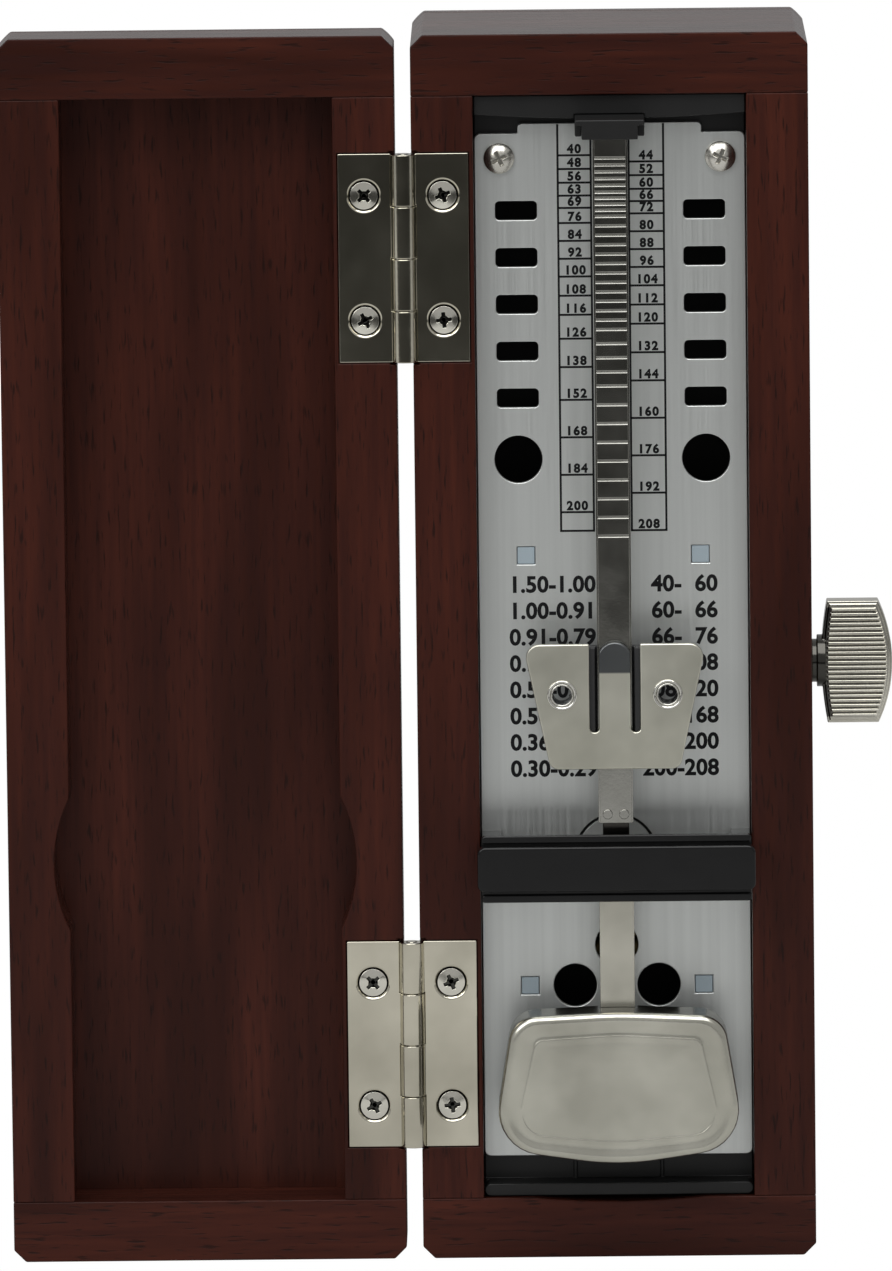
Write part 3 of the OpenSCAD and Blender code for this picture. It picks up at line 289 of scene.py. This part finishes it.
def plain(name, colour, metallic, roughness, depth=0.004, finish=wear, **sockets):
    """A metal or plastic of one colour."""
    made, tree, shader, _, shade = surfaced(name, finish, metallic, roughness, depth,
                                            Base_Color=(*colour, 1), **sockets)
    if metallic:
        tree.links.new(blend(tree, 1.0, shade, colour, "MULTIPLY"), shader.inputs["Base Color"])
    return made


def two_tone(name, axis, low, high, tone_low, tone_high, roughness, depth=0.002):
    """Metal whose colour changes from one tone to another along an axis: material, tree,
    shader, separated coordinates and colour."""
    made, tree, shader, place, shade = surfaced(name, wear, 1.0, roughness, depth)
    split = tree.nodes.new("ShaderNodeSeparateXYZ")
    tree.links.new(place, split.inputs["Vector"])
    tone = blend(tree, remap(tree, split.outputs[axis], low, high, 0, 1), tone_low, tone_high)
    tone = blend(tree, 1.0, shade, tone, "MULTIPLY")
    tree.links.new(tone, shader.inputs["Base Color"])
    return made, tree, shader, split, tone


nickel = plain("nickel", (0.59, 0.56, 0.47), metallic=1.0, roughness=0.1)
# painted shade: deeper than 0.17 to 0.27 mm below the domes' top the heads' nickel turns near
# black, to darken the cross recesses
screw_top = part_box("hinge_screws_case")[0].y       # top of the heads' domes
screw_nickel_painted_recess = two_tone("screw_nickel_painted_recess", "Y", screw_top + 0.17 * MM, screw_top + 0.27 * MM,
                        (0.74, 0.72, 0.65), (0.06, 0.06, 0.055), roughness=0.14)[0]
for which in ("top", "bottom"):
    finished(f"hinge_{which}_case_leaf", "case", nickel, edge=0.12 * MM)
    finished(f"hinge_{which}_lid_leaf", "lid", nickel, edge=0.12 * MM)
    finished(f"hinge_{which}_pin", "case", nickel, edge=0.15 * MM)
finished("hinge_screws_case", "case", screw_nickel_painted_recess, edge=0.06 * MM, segments=2)
finished("hinge_screws_lid", "lid", screw_nickel_painted_recess, edge=0.06 * MM, segments=2)

# ---------- movement tub ----------
# A black moulded tub pushed into the case. It holds the clockwork and the plate, and
# its ledge and lip close the gap above and below the plate.

black = plain("black_plastic", (0.008, 0.008, 0.008), metallic=0.0, roughness=0.4,
              Specular_IOR_Level=0.3)
finished("movement_tub", "case", black, edge=0.15 * MM)

# ---------- scale plate ----------
# Thin aluminium plate, brushed upwards and pierced with sound holes, held by two
# pan-head screws at the top and four square pegs.

# fine lines and soft bands along the vector's Z
brushed, start, end = group("Brushed", [("Vector", "NodeSocketVector", None),
                                        ("Roughness", "NodeSocketFloat", 0.35)],
                            [("Roughness", "NodeSocketFloat"), ("Height", "NodeSocketFloat"),
                             ("Shade", "NodeSocketColor")])
lines = noise(brushed, start.outputs["Vector"], scale=1, detail=3, stretch=(5200, 5200, 45))
bands = noise(brushed, start.outputs["Vector"], scale=1, detail=2, stretch=(1400, 1400, 8))
brushed.links.new(worked(brushed, "ADD", start.outputs["Roughness"],
                         remap(brushed, lines, 0.3, 0.7, -0.04, 0.05)), end.inputs["Roughness"])
brushed.links.new(lines, end.inputs["Height"])
brushed.links.new(blend(brushed, remap(brushed, bands, 0.3, 0.7, 0, 1), (0.93, 0.93, 0.93),
                        (1.0, 1.0, 1.0)), end.inputs["Shade"])

plate_metal = plain("plate_aluminium", (0.7, 0.72, 0.705), metallic=0.94, roughness=0.37,
                    depth=0.006, finish=brushed)
peg_grey = plain("peg_grey", (0.24, 0.29, 0.32), metallic=0.0, roughness=0.45)
pan_nickel = plain("pan_head_nickel", (0.74, 0.72, 0.67), metallic=1.0, roughness=0.24)
finished("scale_plate", "case", plate_metal, edge=0.13 * MM, segments=2)
finished("plate_pegs", "case", peg_grey, edge=0.12 * MM)
finished("plate_screws", "case", pan_nickel, edge=0.08 * MM, segments=2)

# ---------- printed scale ----------
# Black screen print on the plate: a ladder of beats a minute on each side of the rod,
# each number standing on its own line. Below it a table gives ranges of seconds a beat
# and of beats a minute.

ink = plain("ink_black", (0.008, 0.008, 0.0085), metallic=0.0, roughness=0.6, depth=0.001,
            Specular_IOR_Level=0.1)
INK_T = 0.012 * MM                  # thickness of the print
LINE_W = 0.26 * MM                  # width of a printed line
CAP = 0.73                          # height of a capital in a font of size 1
plate_low, plate_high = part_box("scale_plate")
rod_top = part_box("pendulum_rod")[1].z
BEATS = (*range(40, 61, 4), *range(63, 73, 3), *range(76, 121, 4), *range(126, 145, 6),
         *range(152, 209, 8))
# beats a minute and the line's distance below the rod's tip in mm
SCALE = ((40, 4.15), (60, 8.31), (72, 11.3), (100, 18.92), (132, 28.25), (208, 50.02))
COLUMNS = {"left": (-6.3 * MM, -2.3 * MM), "right": (2.3 * MM, 6.5 * MM)}
FIGURE_H, FIGURE_GAP = 1.08 * MM, 0.3 * MM          # figures of the ladder, above their lines
TEMPOS = ((40, 60), (60, 66), (66, 76), (76, 108), (108, 120), (120, 168), (168, 200),
          (200, 208))
TABLE_X = (-12.7 * MM, 12.65 * MM)  # left and right edge of the table
TABLE_DROP = 57.28 * MM             # its first row's foot below the plate's top
ROW, TABLE_H = 3.235 * MM, 2 * MM   # distance of its rows and height of its figures


def beat_height(beats):
    """Height of the line for a number of beats a minute."""
    for (low, low_drop), (high, high_drop) in zip(SCALE, SCALE[1:]):
        if beats <= high:
            share = (beats - low) / (high - low)
            return rod_top - (low_drop + share * (high_drop - low_drop)) * MM


def stroke(bm, x0, x1, z0, z1):
    """A printed bar on the plate."""
    centre = Vector(((x0 + x1) / 2, plate_low.y - INK_T / 2, (z0 + z1) / 2))
    bmesh.ops.create_cube(bm, size=1, matrix=Matrix.Translation(centre)
                          @ Matrix.Diagonal((abs(x1 - x0), INK_T, abs(z1 - z0), 1)))


def lettering(bm, words, x, z, height, align, spacing, weight):
    """Adds printed figures to a bmesh: foot at z, and left, middle or right at x."""
    curve = bpy.data.curves.new("figures", "FONT")
    curve.body, curve.align_x, curve.space_character = words, align, spacing
    curve.size, curve.offset, curve.resolution_u = 1.0, weight, 4
    curve.extrude = INK_T / height * CAP / 2
    holder = bpy.data.objects.new("figures", curve)
    bpy.context.scene.collection.objects.link(holder)
    bpy.context.view_layer.update()
    mesh = bpy.data.meshes.new_from_object(holder)
    mesh.transform(Matrix.Translation((x, plate_low.y - INK_T / 2, z))
                   @ Matrix.Rotation(math.pi / 2, 4, "X") @ Matrix.Scale(height / CAP, 4))
    bm.from_mesh(mesh)
    bpy.data.objects.remove(holder)
    bpy.data.curves.remove(curve)
    bpy.data.meshes.remove(mesh)


bm = bmesh.new()
scale_top = plate_high.z - 0.15 * MM
low_line = beat_height(BEATS[-1])
for column, first in (("left", 0), ("right", 1)):       # every other number on each side
    inner, outer = sorted(COLUMNS[column], key=abs)
    for x in (inner, outer):
        stroke(bm, x - LINE_W / 2, x + LINE_W / 2, low_line - LINE_W / 2, scale_top)
    for beats in BEATS[first::2]:
        z = beat_height(beats)
        stroke(bm, inner, outer, z - LINE_W / 2, z + LINE_W / 2)
        lettering(bm, str(beats), (inner + outer) / 2, z + FIGURE_GAP, FIGURE_H, "CENTER",
                  spacing=1.22, weight=0.05)
    if column == "left":
        stroke(bm, inner, outer, low_line - LINE_W / 2, low_line + LINE_W / 2)
for row, (slow, fast) in enumerate(TEMPOS):
    z = plate_high.z - TABLE_DROP - row * ROW
    gap = "  " if fast < 100 else ""
    lettering(bm, f"{slow}-{gap}{fast}", TABLE_X[1], z, TABLE_H, "RIGHT",
              spacing=1.02, weight=0.033)
    lettering(bm, f"{60 / slow:.2f}-{60 / fast:.2f}", TABLE_X[0], z, TABLE_H, "LEFT",
              spacing=1.02, weight=0.033)
placed(bm, "scale_print", "case", ink, angle=30)

# ---------- pendulum clip and pivot bridge ----------
# The moulded clip at the top holds the parked rod's tip. The bridge across the plate
# carries the front pivot. Its glossy bar is left bare, with a bead above and below.

glossy_black = plain("bridge_plastic", (0.0028, 0.0028, 0.003), metallic=0.0, roughness=0.16,
                     Specular_IOR_Level=0.3)
finished("pendulum_clip", "case", black, edge=0.18 * MM)
bridge_low, bridge_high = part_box("pivot_bridge")
bridge_w = bridge_high.x - bridge_low.x
bead_w = bridge_w - 1 * MM          # width of the beads and the base
pivot_z = sum(c.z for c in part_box("pendulum_arbor")) / 2
BAR_H, BASE_H, BEAD_H = 5.5 * MM, 8.2 * MM, 0.98 * MM
BAR_RISE = 0.1 * MM                 # the bar's middle above the pivot
BEAD_Z = 3.61 * MM                  # the beads' middles above and below the pivot
BRIDGE_T = 1.8 * MM                 # thickness, then the fronts of the beads and the base
BEAD_FRONT, BASE_FRONT = 1.1 * MM, 1.65 * MM
POST_X, POST_W = 15.15 * MM, 2.3 * MM               # the posts that stand on the plate
POST_Z = (-3.9 * MM, 3.1 * MM)


def box(bm, low, high):
    """Adds a box between two corners and returns its vertices."""
    return bmesh.ops.create_cube(bm, size=1, matrix=Matrix.Translation((low + high) / 2)
                                 @ Matrix.Diagonal((*(high - low), 1)))["verts"]


def slab(bm, width, height, z, front, rounding, edge):
    """Adds a layer of the bridge from a depth to its back: corners, then front edges rounded."""
    y = bridge_low.y + front
    made = box(bm, Vector((-width / 2, y, z - height / 2)),
               Vector((width / 2, bridge_low.y + BRIDGE_T, z + height / 2)))
    along = {e for v in made for e in v.link_edges
             if abs(e.verts[0].co.y - e.verts[1].co.y) > SEAM}
    ends = bmesh.ops.bevel(bm, geom=list(along), offset=rounding, offset_type="OFFSET",
                           affect="EDGES", segments=8, profile=0.5, material=-1)["faces"]
    rim = {e for f in ends for v in f.verts for e in v.link_edges
           if all(abs(w.co.y - y) < SEAM for w in e.verts)}
    bmesh.ops.bevel(bm, geom=list(rim), offset=edge, offset_type="OFFSET", affect="EDGES",
                    segments=4, profile=0.5, material=-1)


bm = bmesh.new()
slab(bm, bridge_w, BAR_H, pivot_z + BAR_RISE, 0, rounding=0.9 * MM, edge=0.3 * MM)
slab(bm, bead_w, BASE_H, pivot_z, BASE_FRONT, rounding=0.45 * MM, edge=0.05 * MM)
for side in (-1, 1):
    slab(bm, bead_w, BEAD_H, pivot_z + side * BEAD_Z, BEAD_FRONT, rounding=0.42 * MM,
         edge=0.22 * MM)
    box(bm, Vector((side * POST_X - POST_W / 2, bridge_low.y + BRIDGE_T, pivot_z + POST_Z[0])),
        Vector((side * POST_X + POST_W / 2, bridge_high.y, pivot_z + POST_Z[1])))
placed(bm, "pivot_bridge.shown", "case", glossy_black, angle=50,
       replaced=["pivot_bridge"])
finished("bridge_screws", "case", pan_nickel)

# ---------- pivot washer ----------
# A metal washer fills the pivot's hole in the plate but for a thin gap. It rests on a
# black ring behind the plate, and the arbor passes through both.

# half sections in mm: radius and depth behind the plate's back
RING = ((1.2, 0.02), (6.0, 0.02), (6.0, 0.45), (1.2, 0.45))
WASHER = ((1.2, -0.66), (4.66, -0.66), (4.72, -0.6), (4.72, 0.0), (1.2, 0.0))


def turned(bm, section, centre, steps):
    """Adds a ring about an axis along Y from its half section: radius and depth in mm."""
    points = [bm.verts.new(centre + Vector((r * MM, deep * MM, 0))) for r, deep in section]
    rim = [bm.edges.new(pair) for pair in zip(points, points[1:] + points[:1])]
    bmesh.ops.spin(bm, geom=points + rim, cent=centre, axis=(0, 1, 0), dvec=(0, 0, 0),
                   angle=2 * math.pi, steps=steps, use_merge=True, use_duplicate=False)
    bmesh.ops.recalc_face_normals(bm, faces=bm.faces)


for name, section, material, slot in (("pivot_ring", RING, black, "black_plastic"),
                                      ("pivot_washer", WASHER, plate_metal, "aluminium")):
    bm = bmesh.new()
    turned(bm, section, Vector((0, plate_high.y, pivot_z)), steps=64)
    placed(bm, name, "case", material)

# ---------- pendulum ----------
# A flat steel rod, notched for every line of the scale, riveted to a lever that turns on
# the arbor and carries the counterweight. Above the arbor the lever is painted dark as shade.

rod_metal = plain("rod_steel", (0.39, 0.385, 0.36), metallic=1.0, roughness=0.13, depth=0.002)
lever_metal = plain("lever_steel", (0.3, 0.29, 0.27), metallic=1.0, roughness=0.34)
# painted shade: the lever's colour turns from bright nickel to near black just above the arbor
lever_painted_shade = two_tone("lever_painted_shade", "Z", pivot_z - 0.1 * MM, pivot_z + 0.1 * MM,
                        (0.56, 0.545, 0.48), (0.075, 0.07, 0.066), roughness=0.2)[0]
finished("pendulum_rod", "pendulum", rod_metal, edge=0.05 * MM, segments=2)
finished("pendulum_lever", "pendulum", lever_painted_shade, edge=0.1 * MM)
finished("lever_rivets", "pendulum", rod_metal, edge=0.1 * MM)
finished("pendulum_arbor", "pendulum", lever_metal, edge=0.08 * MM)
finished("pendulum_collet", "pendulum", lever_metal, edge=0.08 * MM)
finished("verge_pallets", "pendulum", lever_metal, edge=0.04 * MM)

# ---------- counterweight ----------
# Pressed nickel-plated shell closed round a lead slug. Its front has a rolled rim, a
# shallow dish inside the rim and a raised line that follows the outline.

lead = plain("lead", (0.2, 0.21, 0.22), metallic=1.0, roughness=0.5)
shell_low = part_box("counterweight_shell")[0]
# painted dark reflection: from 0.55 to 1 mm behind its front the shell's nickel darkens, so its top
# and sides look dark
shell_nickel_painted_sides = two_tone("shell_nickel_painted_sides", "Y", shell_low.y + 0.55 * MM, shell_low.y + 1.0 * MM,
                        (0.55, 0.54, 0.475), (0.24, 0.235, 0.21), roughness=0.22,
                        depth=0.003)[0]


def rounded(corners, steps=8):
    """A closed outline with each corner (x, z, radius) rounded by the same count of points."""
    points = []
    for i, (x, z, radius) in enumerate(corners):
        corner = Vector((x, z))
        before = (Vector(corners[i - 1][:2]) - corner).normalized()
        after = (Vector(corners[(i + 1) % len(corners)][:2]) - corner).normalized()
        half = math.acos(before.dot(after)) / 2
        middle = (before + after).normalized()
        centre = corner + middle * radius / math.sin(half)
        side = math.copysign(1, before.x * after.y - before.y * after.x)
        facing = math.atan2(-middle.y, -middle.x)
        for k in range(-steps, steps + 1, 2):
            angle = facing - side * k / steps * (math.pi / 2 - half)
            points.append(centre + radius * Vector((math.cos(angle), math.sin(angle))))
    return points


def shell_outline(inset):
    """The counterweight's outline in mm, moved inwards by an inset; seen from the front it
    runs anticlockwise, so a face on it looks forwards."""
    top = (12.8 - inset, 18.4 - inset, 3.4 - 0.8 * inset)
    foot = (15.4 - inset, 2.3 + 0.6 * inset, 5.4 - 0.8 * inset)
    mirrored = [(-x, z, radius) for x, z, radius in (top, foot)]
    return rounded([(0, 19 - inset, 60 - 8 * inset), *mirrored, (0, inset, 34), foot, top])


# the front in mm: inset and depth from the rolled rim to the raised line, then the dish's
# share of the way out from the middle and its depth
RIM = ((0, 1.06), (0.04, 0.76), (0.16, 0.48), (0.38, 0.27), (0.68, 0.16), (0.98, 0.15),
       (1.25, 0.19), (1.55, 0.27), (1.9, 0.31), (2.3, 0.32), (2.65, 0.31), (2.75, 0.26),
       (2.85, 0.22), (2.95, 0.22), (3.05, 0.25), (3.15, 0.29))
DISH = ((0.9, 0.27), (0.7, 0.25), (0.45, 0.24), (0.2, 0.235))
foot_z = shell_low.z - min(p.y for p in shell_outline(0)) * MM
bm = merged("counterweight_shell")
bmesh.ops.bisect_plane(bm, geom=bm.verts[:] + bm.edges[:] + bm.faces[:], clear_outer=True,
                       plane_co=(0, shell_low.y + RIM[0][1] * MM, 0), plane_no=(0, -1, 0))
rings = [(shell_outline(inset), depth) for inset, depth in RIM]
inner = rings[-1][0]
heart = sum(inner, Vector((0, 0))) / len(inner)
rings += [([heart + (p - heart) * share for p in inner], depth) for share, depth in DISH]
places = [[(p.x * MM, shell_low.y + depth * MM, foot_z + p.y * MM) for p in ring]
          for ring, depth in rings]
front = bm.faces.new([bm.verts.new(place) for place in places[0]])
for ring in places[1:]:                 # each inset's inner face is drawn in to the next ring
    bmesh.ops.inset_individual(bm, faces=[front], thickness=0)
    for vert, place in zip(front.verts, ring):
        vert.co = place
placed(bm, "counterweight_shell.shown", "pendulum", shell_nickel_painted_sides, angle=50,
       replaced=["counterweight_shell"])
finished("counterweight_slug", "pendulum", lead)

# ---------- sliding weight ----------
# A pressed nickel-plated face on a cast block. The tongue between the two slots snaps
# into the rod's notches, and two hollow rivets hold the face.

cast_black = plain("cast_black", (0.02, 0.02, 0.021), metallic=0.0, roughness=0.5,
                   Specular_IOR_Level=0.3)
tip_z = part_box("sliding_weight_face")[1].z
TONGUE = 2 * MM                     # half the tongue's width
BEND = 0.06                         # slope of its tip, which is tilted back; its dark reflection is painted into the colour
bend_z = (tip_z - 3.8 * MM, tip_z - 3.6 * MM)
# painted shading: the face's nickel gets lighter towards the top, and the tongue's tip is painted
# dark as a reflection
weight_nickel_painted_shade, tree, shader, split, tone = two_tone(
    "weight_nickel_painted_shade", "Z", tip_z - 15 * MM, tip_z - 6 * MM, (0.6, 0.59, 0.51),
    (0.66, 0.65, 0.57), roughness=0.3)
across = remap(tree, worked(tree, "ABSOLUTE", split.outputs["X"]), TONGUE + 0.05 * MM,
               TONGUE + 0.1 * MM, 1, 0)
painted_dark_tip = worked(tree, "MULTIPLY", across, remap(tree, split.outputs["Z"], *bend_z, 0, 1))
tree.links.new(blend(tree, painted_dark_tip, tone, (0.13, 0.137, 0.14)), shader.inputs["Base Color"])
bm = merged("sliding_weight_face")
eased(bm, 0.2 * MM)
bmesh.ops.triangulate(bm, faces=bm.faces[:])
for z in bend_z:
    bmesh.ops.bisect_plane(bm, geom=bm.verts[:] + bm.edges[:] + bm.faces[:],
                           plane_co=(0, 0, z), plane_no=(0, 0, 1))
for vert in bm.verts:
    if abs(vert.co.x) < TONGUE and vert.co.z > bend_z[1] - SEAM:
        vert.co.y += BEND * (vert.co.z - bend_z[0])
placed(bm, "sliding_weight_face.shown", "weight", weight_nickel_painted_shade,
       replaced=["sliding_weight_face"])
finished("sliding_weight_block", "weight", cast_black, edge=0.2 * MM)
eyelet_low, eyelet_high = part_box("weight_eyelets")
eyelet_z = (eyelet_low.z + eyelet_high.z) / 2
eyelet_x = eyelet_high.x - (eyelet_high.z - eyelet_low.z) / 2
# painted shade: deeper than 0.4 mm behind their rolled heads the rivets turn near black, standing
# for the black block round the bores and for the shade inside them
eyelet_nickel_painted_bore = two_tone("eyelet_nickel_painted_bore", "Y", eyelet_low.y + 0.4 * MM, eyelet_low.y + 0.45 * MM,
                         (0.72, 0.71, 0.67), (0.03, 0.03, 0.03), roughness=0.14)[0]
# half section of a hollow rivet in mm: radius and depth behind the front of its rolled head
RIVET = ((1.85, 0.26), (1.83, 0.12), (1.76, 0.03), (1.66, 0.0), (1.56, 0.04), (1.47, 0.13),
         (1.42, 0.2), (1.36, 0.13), (1.28, 0.09), (1.2, 0.12), (1.13, 0.24), (1.1, 0.45),
         (1.1, 3.7), (1.17, 3.7), (1.17, 0.4))
bm = bmesh.new()
for side in (-1, 1):
    turned(bm, RIVET, Vector((side * eyelet_x, eyelet_low.y, eyelet_z)), steps=48)
placed(bm, "weight_eyelets.shown", "weight", eyelet_nickel_painted_bore, angle=50,
       replaced=["weight_eyelets"])

# ---------- winding key ----------
# A ribbed cast thumb piece, nickel plated, screwed to the end of the barrel arbor that
# comes out of the case through a brass bush. The ratchet wheel turns with it.

brass = plain("brass", (0.55, 0.4, 0.16), metallic=1.0, roughness=0.3)
key_low, key_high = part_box("winding_key")
key_y, key_z = ((key_low[k] + key_high[k]) / 2 for k in (1, 2))
key_half = (key_high.z - key_low.z) / 2
bm = merged("winding_key")
NECK = 1.7 * MM                     # length of the dark neck
HUB = 4 * MM                        # the thumb piece starts within this length
ARC_R = 17.4 * MM                   # radius of the thumb piece's outer edge
END_BORDER, EDGE_BORDER = 0.8 * MM, 0.85 * MM
GROOVE = 0.345 * MM                 # depth of the grooves below the crests
crest = max(abs(v.co.y - key_y) for v in bm.verts if v.co.x > key_low.x + HUB)
key_nickel, tree, shader, split, tone = two_tone(
    "key_nickel", "X", key_low.x + NECK, key_low.x + NECK + 0.1 * MM, (0.07, 0.068, 0.062),
    (0.68, 0.66, 0.59), roughness=0.14)


def off(axis, centre):
    """How far a point of the key is from a centre along an axis."""
    return worked(tree, "ABSOLUTE", worked(tree, "SUBTRACT", split.outputs[axis], centre))


# the grooves are darker, but not the border at the ends and the outer edge
flattened = tree.nodes.new("ShaderNodeCombineXYZ")
for axis in "XZ":
    tree.links.new(split.outputs[axis], flattened.inputs[axis])
reach = tree.nodes.new("ShaderNodeVectorMath")
reach.operation = "DISTANCE"
reach.inputs[1].default_value = (key_high.x - ARC_R, 0, key_z)
tree.links.new(flattened.outputs["Vector"], reach.inputs[0])
outer_edge = remap(tree, reach.outputs["Value"], ARC_R - EDGE_BORDER,
                   ARC_R - EDGE_BORDER + 0.15 * MM, 0, 1)
ends = remap(tree, off("Z", key_z), key_half - END_BORDER,
             key_half - END_BORDER + 0.1 * MM, 0, 1)
crests = remap(tree, off("Y", key_y), crest - GROOVE, crest - GROOVE + 0.045 * MM, 0, 1)
undarkened = worked(tree, "MAXIMUM", worked(tree, "MAXIMUM", outer_edge, ends), crests)
tree.links.new(blend(tree, undarkened, (0.12, 0.117, 0.107), tone), shader.inputs["Base Color"])
placed(bm, "winding_key.shown", "key", key_nickel, edge=0.1 * MM,
       replaced=["winding_key"])
finished("barrel_arbor", "key", lever_metal, edge=0.06 * MM)
finished("ratchet_wheel", "key", lever_metal, edge=0.03 * MM)
finished("key_bush", "case", brass, edge=0.06 * MM)

# ---------- clockwork ----------
# Brass plates and wheels on steel arbors: barrel, intermediate wheel and crown wheel,
# with the click on the right-hand plate. Only the pillars, in a dark brass colour, can be
# seen, through a hole of the scale plate.

spring_steel = plain("spring_steel", (0.13, 0.16, 0.2), metallic=1.0, roughness=0.3)
dark_brass = plain("dark_brass", (0.09, 0.07, 0.035), metallic=1.0, roughness=0.5)
for node, body, material, slot in (
        ("frame_plate_left", "case", brass, "brass"),
        ("frame_plate_right", "case", brass, "brass"),
        ("frame_pillars", "case", dark_brass, "brass"),
        ("potence", "case", brass, "brass"),
        ("rear_bush", "case", brass, "brass"),
        ("click", "case", lever_metal, "steel"),
        ("click_pin", "case", lever_metal, "steel"),
        ("click_spring", "case", spring_steel, "spring_steel"),
        ("barrel_drum", "barrel", brass, "brass"),
        ("barrel_cover", "barrel", brass, "brass"),
        ("great_wheel", "barrel", brass, "brass"),
        ("mainspring", "barrel", spring_steel, "spring_steel"),
        ("intermediate_arbor", "intermediate", lever_metal, "steel"),
        ("intermediate_wheel", "intermediate", brass, "brass"),
        ("crown_arbor", "crown", lever_metal, "steel"),
        ("crown_wheel", "crown", brass, "brass")):
    finished(node, body, material)

# ---------- floor, light and camera ----------
# A pale table top that runs into a white background, two broad soft lights and a long
# lens a little above the metronome.

FLOOR = 12                          # side of the floor in metres
DARK_FROM = -0.46                   # in front of this the floor looks dark in reflections
bm = bmesh.new()
bmesh.ops.create_grid(bm, x_segments=1, y_segments=1, size=FLOOR / 2)
floor = bpy.data.objects.new("floor", bpy.data.meshes.new("floor"))
bm.to_mesh(floor.data)
bm.free()
bpy.context.scene.collection.objects.link(floor)
floor_look = bpy.data.materials.new("floor_white")
floor_look.use_nodes = True
tree = floor_look.node_tree
tree.nodes.remove(tree.nodes["Principled BSDF"])
place = tree.nodes.new("ShaderNodeTexCoord").outputs["Object"]
path = tree.nodes.new("ShaderNodeLightPath")
split = tree.nodes.new("ShaderNodeSeparateXYZ")
tree.links.new(place, split.inputs["Vector"])
near = remap(tree, split.outputs["Y"], DARK_FROM - 0.06, DARK_FROM + 0.06, 0, 1)
mottle = remap(tree, noise(tree, place, scale=14, detail=3), 0.3, 0.7, 0, 1)
paper = blend(tree, mottle, (0.80, 0.80, 0.80), (0.84, 0.84, 0.84))
mirrored = blend(tree, near, (0.03, 0.03, 0.028), (0.46, 0.46, 0.455))
diffuse = tree.nodes.new("ShaderNodeBsdfDiffuse")
tree.links.new(blend(tree, path.outputs["Is Glossy Ray"], paper, mirrored),
               diffuse.inputs["Color"])
white = tree.nodes.new("ShaderNodeEmission")
white.inputs["Strength"].default_value = 1.0
white.inputs["Color"].default_value = (1, 1, 1, 1)
mixed = tree.nodes.new("ShaderNodeMixShader")
tree.links.new(path.outputs["Is Camera Ray"], mixed.inputs["Fac"])
tree.links.new(diffuse.outputs["BSDF"], mixed.inputs[1])
tree.links.new(white.outputs["Emission"], mixed.inputs[2])
tree.links.new(mixed.outputs["Shader"], tree.nodes["Material Output"].inputs["Surface"])
floor.data.materials.append(floor_look)

world = bpy.data.worlds.new("studio")
world.use_nodes = True
bpy.context.scene.world = world
tree = world.node_tree
path = tree.nodes.new("ShaderNodeLightPath")
room = blend(tree, path.outputs["Is Glossy Ray"], (0.62, 0.62, 0.62), (0.42, 0.42, 0.42))
backdrop = blend(tree, path.outputs["Is Camera Ray"], room, (1.0, 1.0, 1.0))
tree.links.new(backdrop, tree.nodes["Background"].inputs["Color"])
tree.nodes["Background"].inputs["Strength"].default_value = 1.0


def soft_light(name, power, size, place, aim):
    """A square area light aimed at a point."""
    data = bpy.data.lights.new(name, "AREA")
    data.shape, data.size, data.energy = "SQUARE", size, power
    lamp = bpy.data.objects.new(name, data)
    lamp.location = place
    lamp.rotation_euler = (Vector(aim) - Vector(place)).to_track_quat("-Z", "Y").to_euler()
    bpy.context.scene.collection.objects.link(lamp)


middle = (0, 0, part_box("case_right_stile")[1].z / 2)
soft_light("overhead", power=14, size=1.2, place=(0.0, -0.6, 1.25), aim=middle)
soft_light("front_left", power=7, size=0.8, place=(-0.9, -1.1, 0.9), aim=middle)

CAMERA_AT = (-0.0074, -1.639, 0.3069)
tilt, yaw, roll = (math.radians(a) for a in (81.93, 0.37, 0.63))
camera = bpy.data.objects.new("camera", bpy.data.cameras.new("camera"))
camera.data.lens, camera.data.sensor_width = 382.4, 36
camera.data.clip_start, camera.data.clip_end = 0.1, 20
camera.matrix_world = (Matrix.Translation(CAMERA_AT) @ Matrix.Rotation(yaw, 4, "Z")
                       @ Matrix.Rotation(roll, 4, "Y") @ Matrix.Rotation(tilt, 4, "X"))
bpy.context.scene.collection.objects.link(camera)
bpy.context.scene.camera = camera
bpy.context.scene.view_settings.view_transform = "Standard"
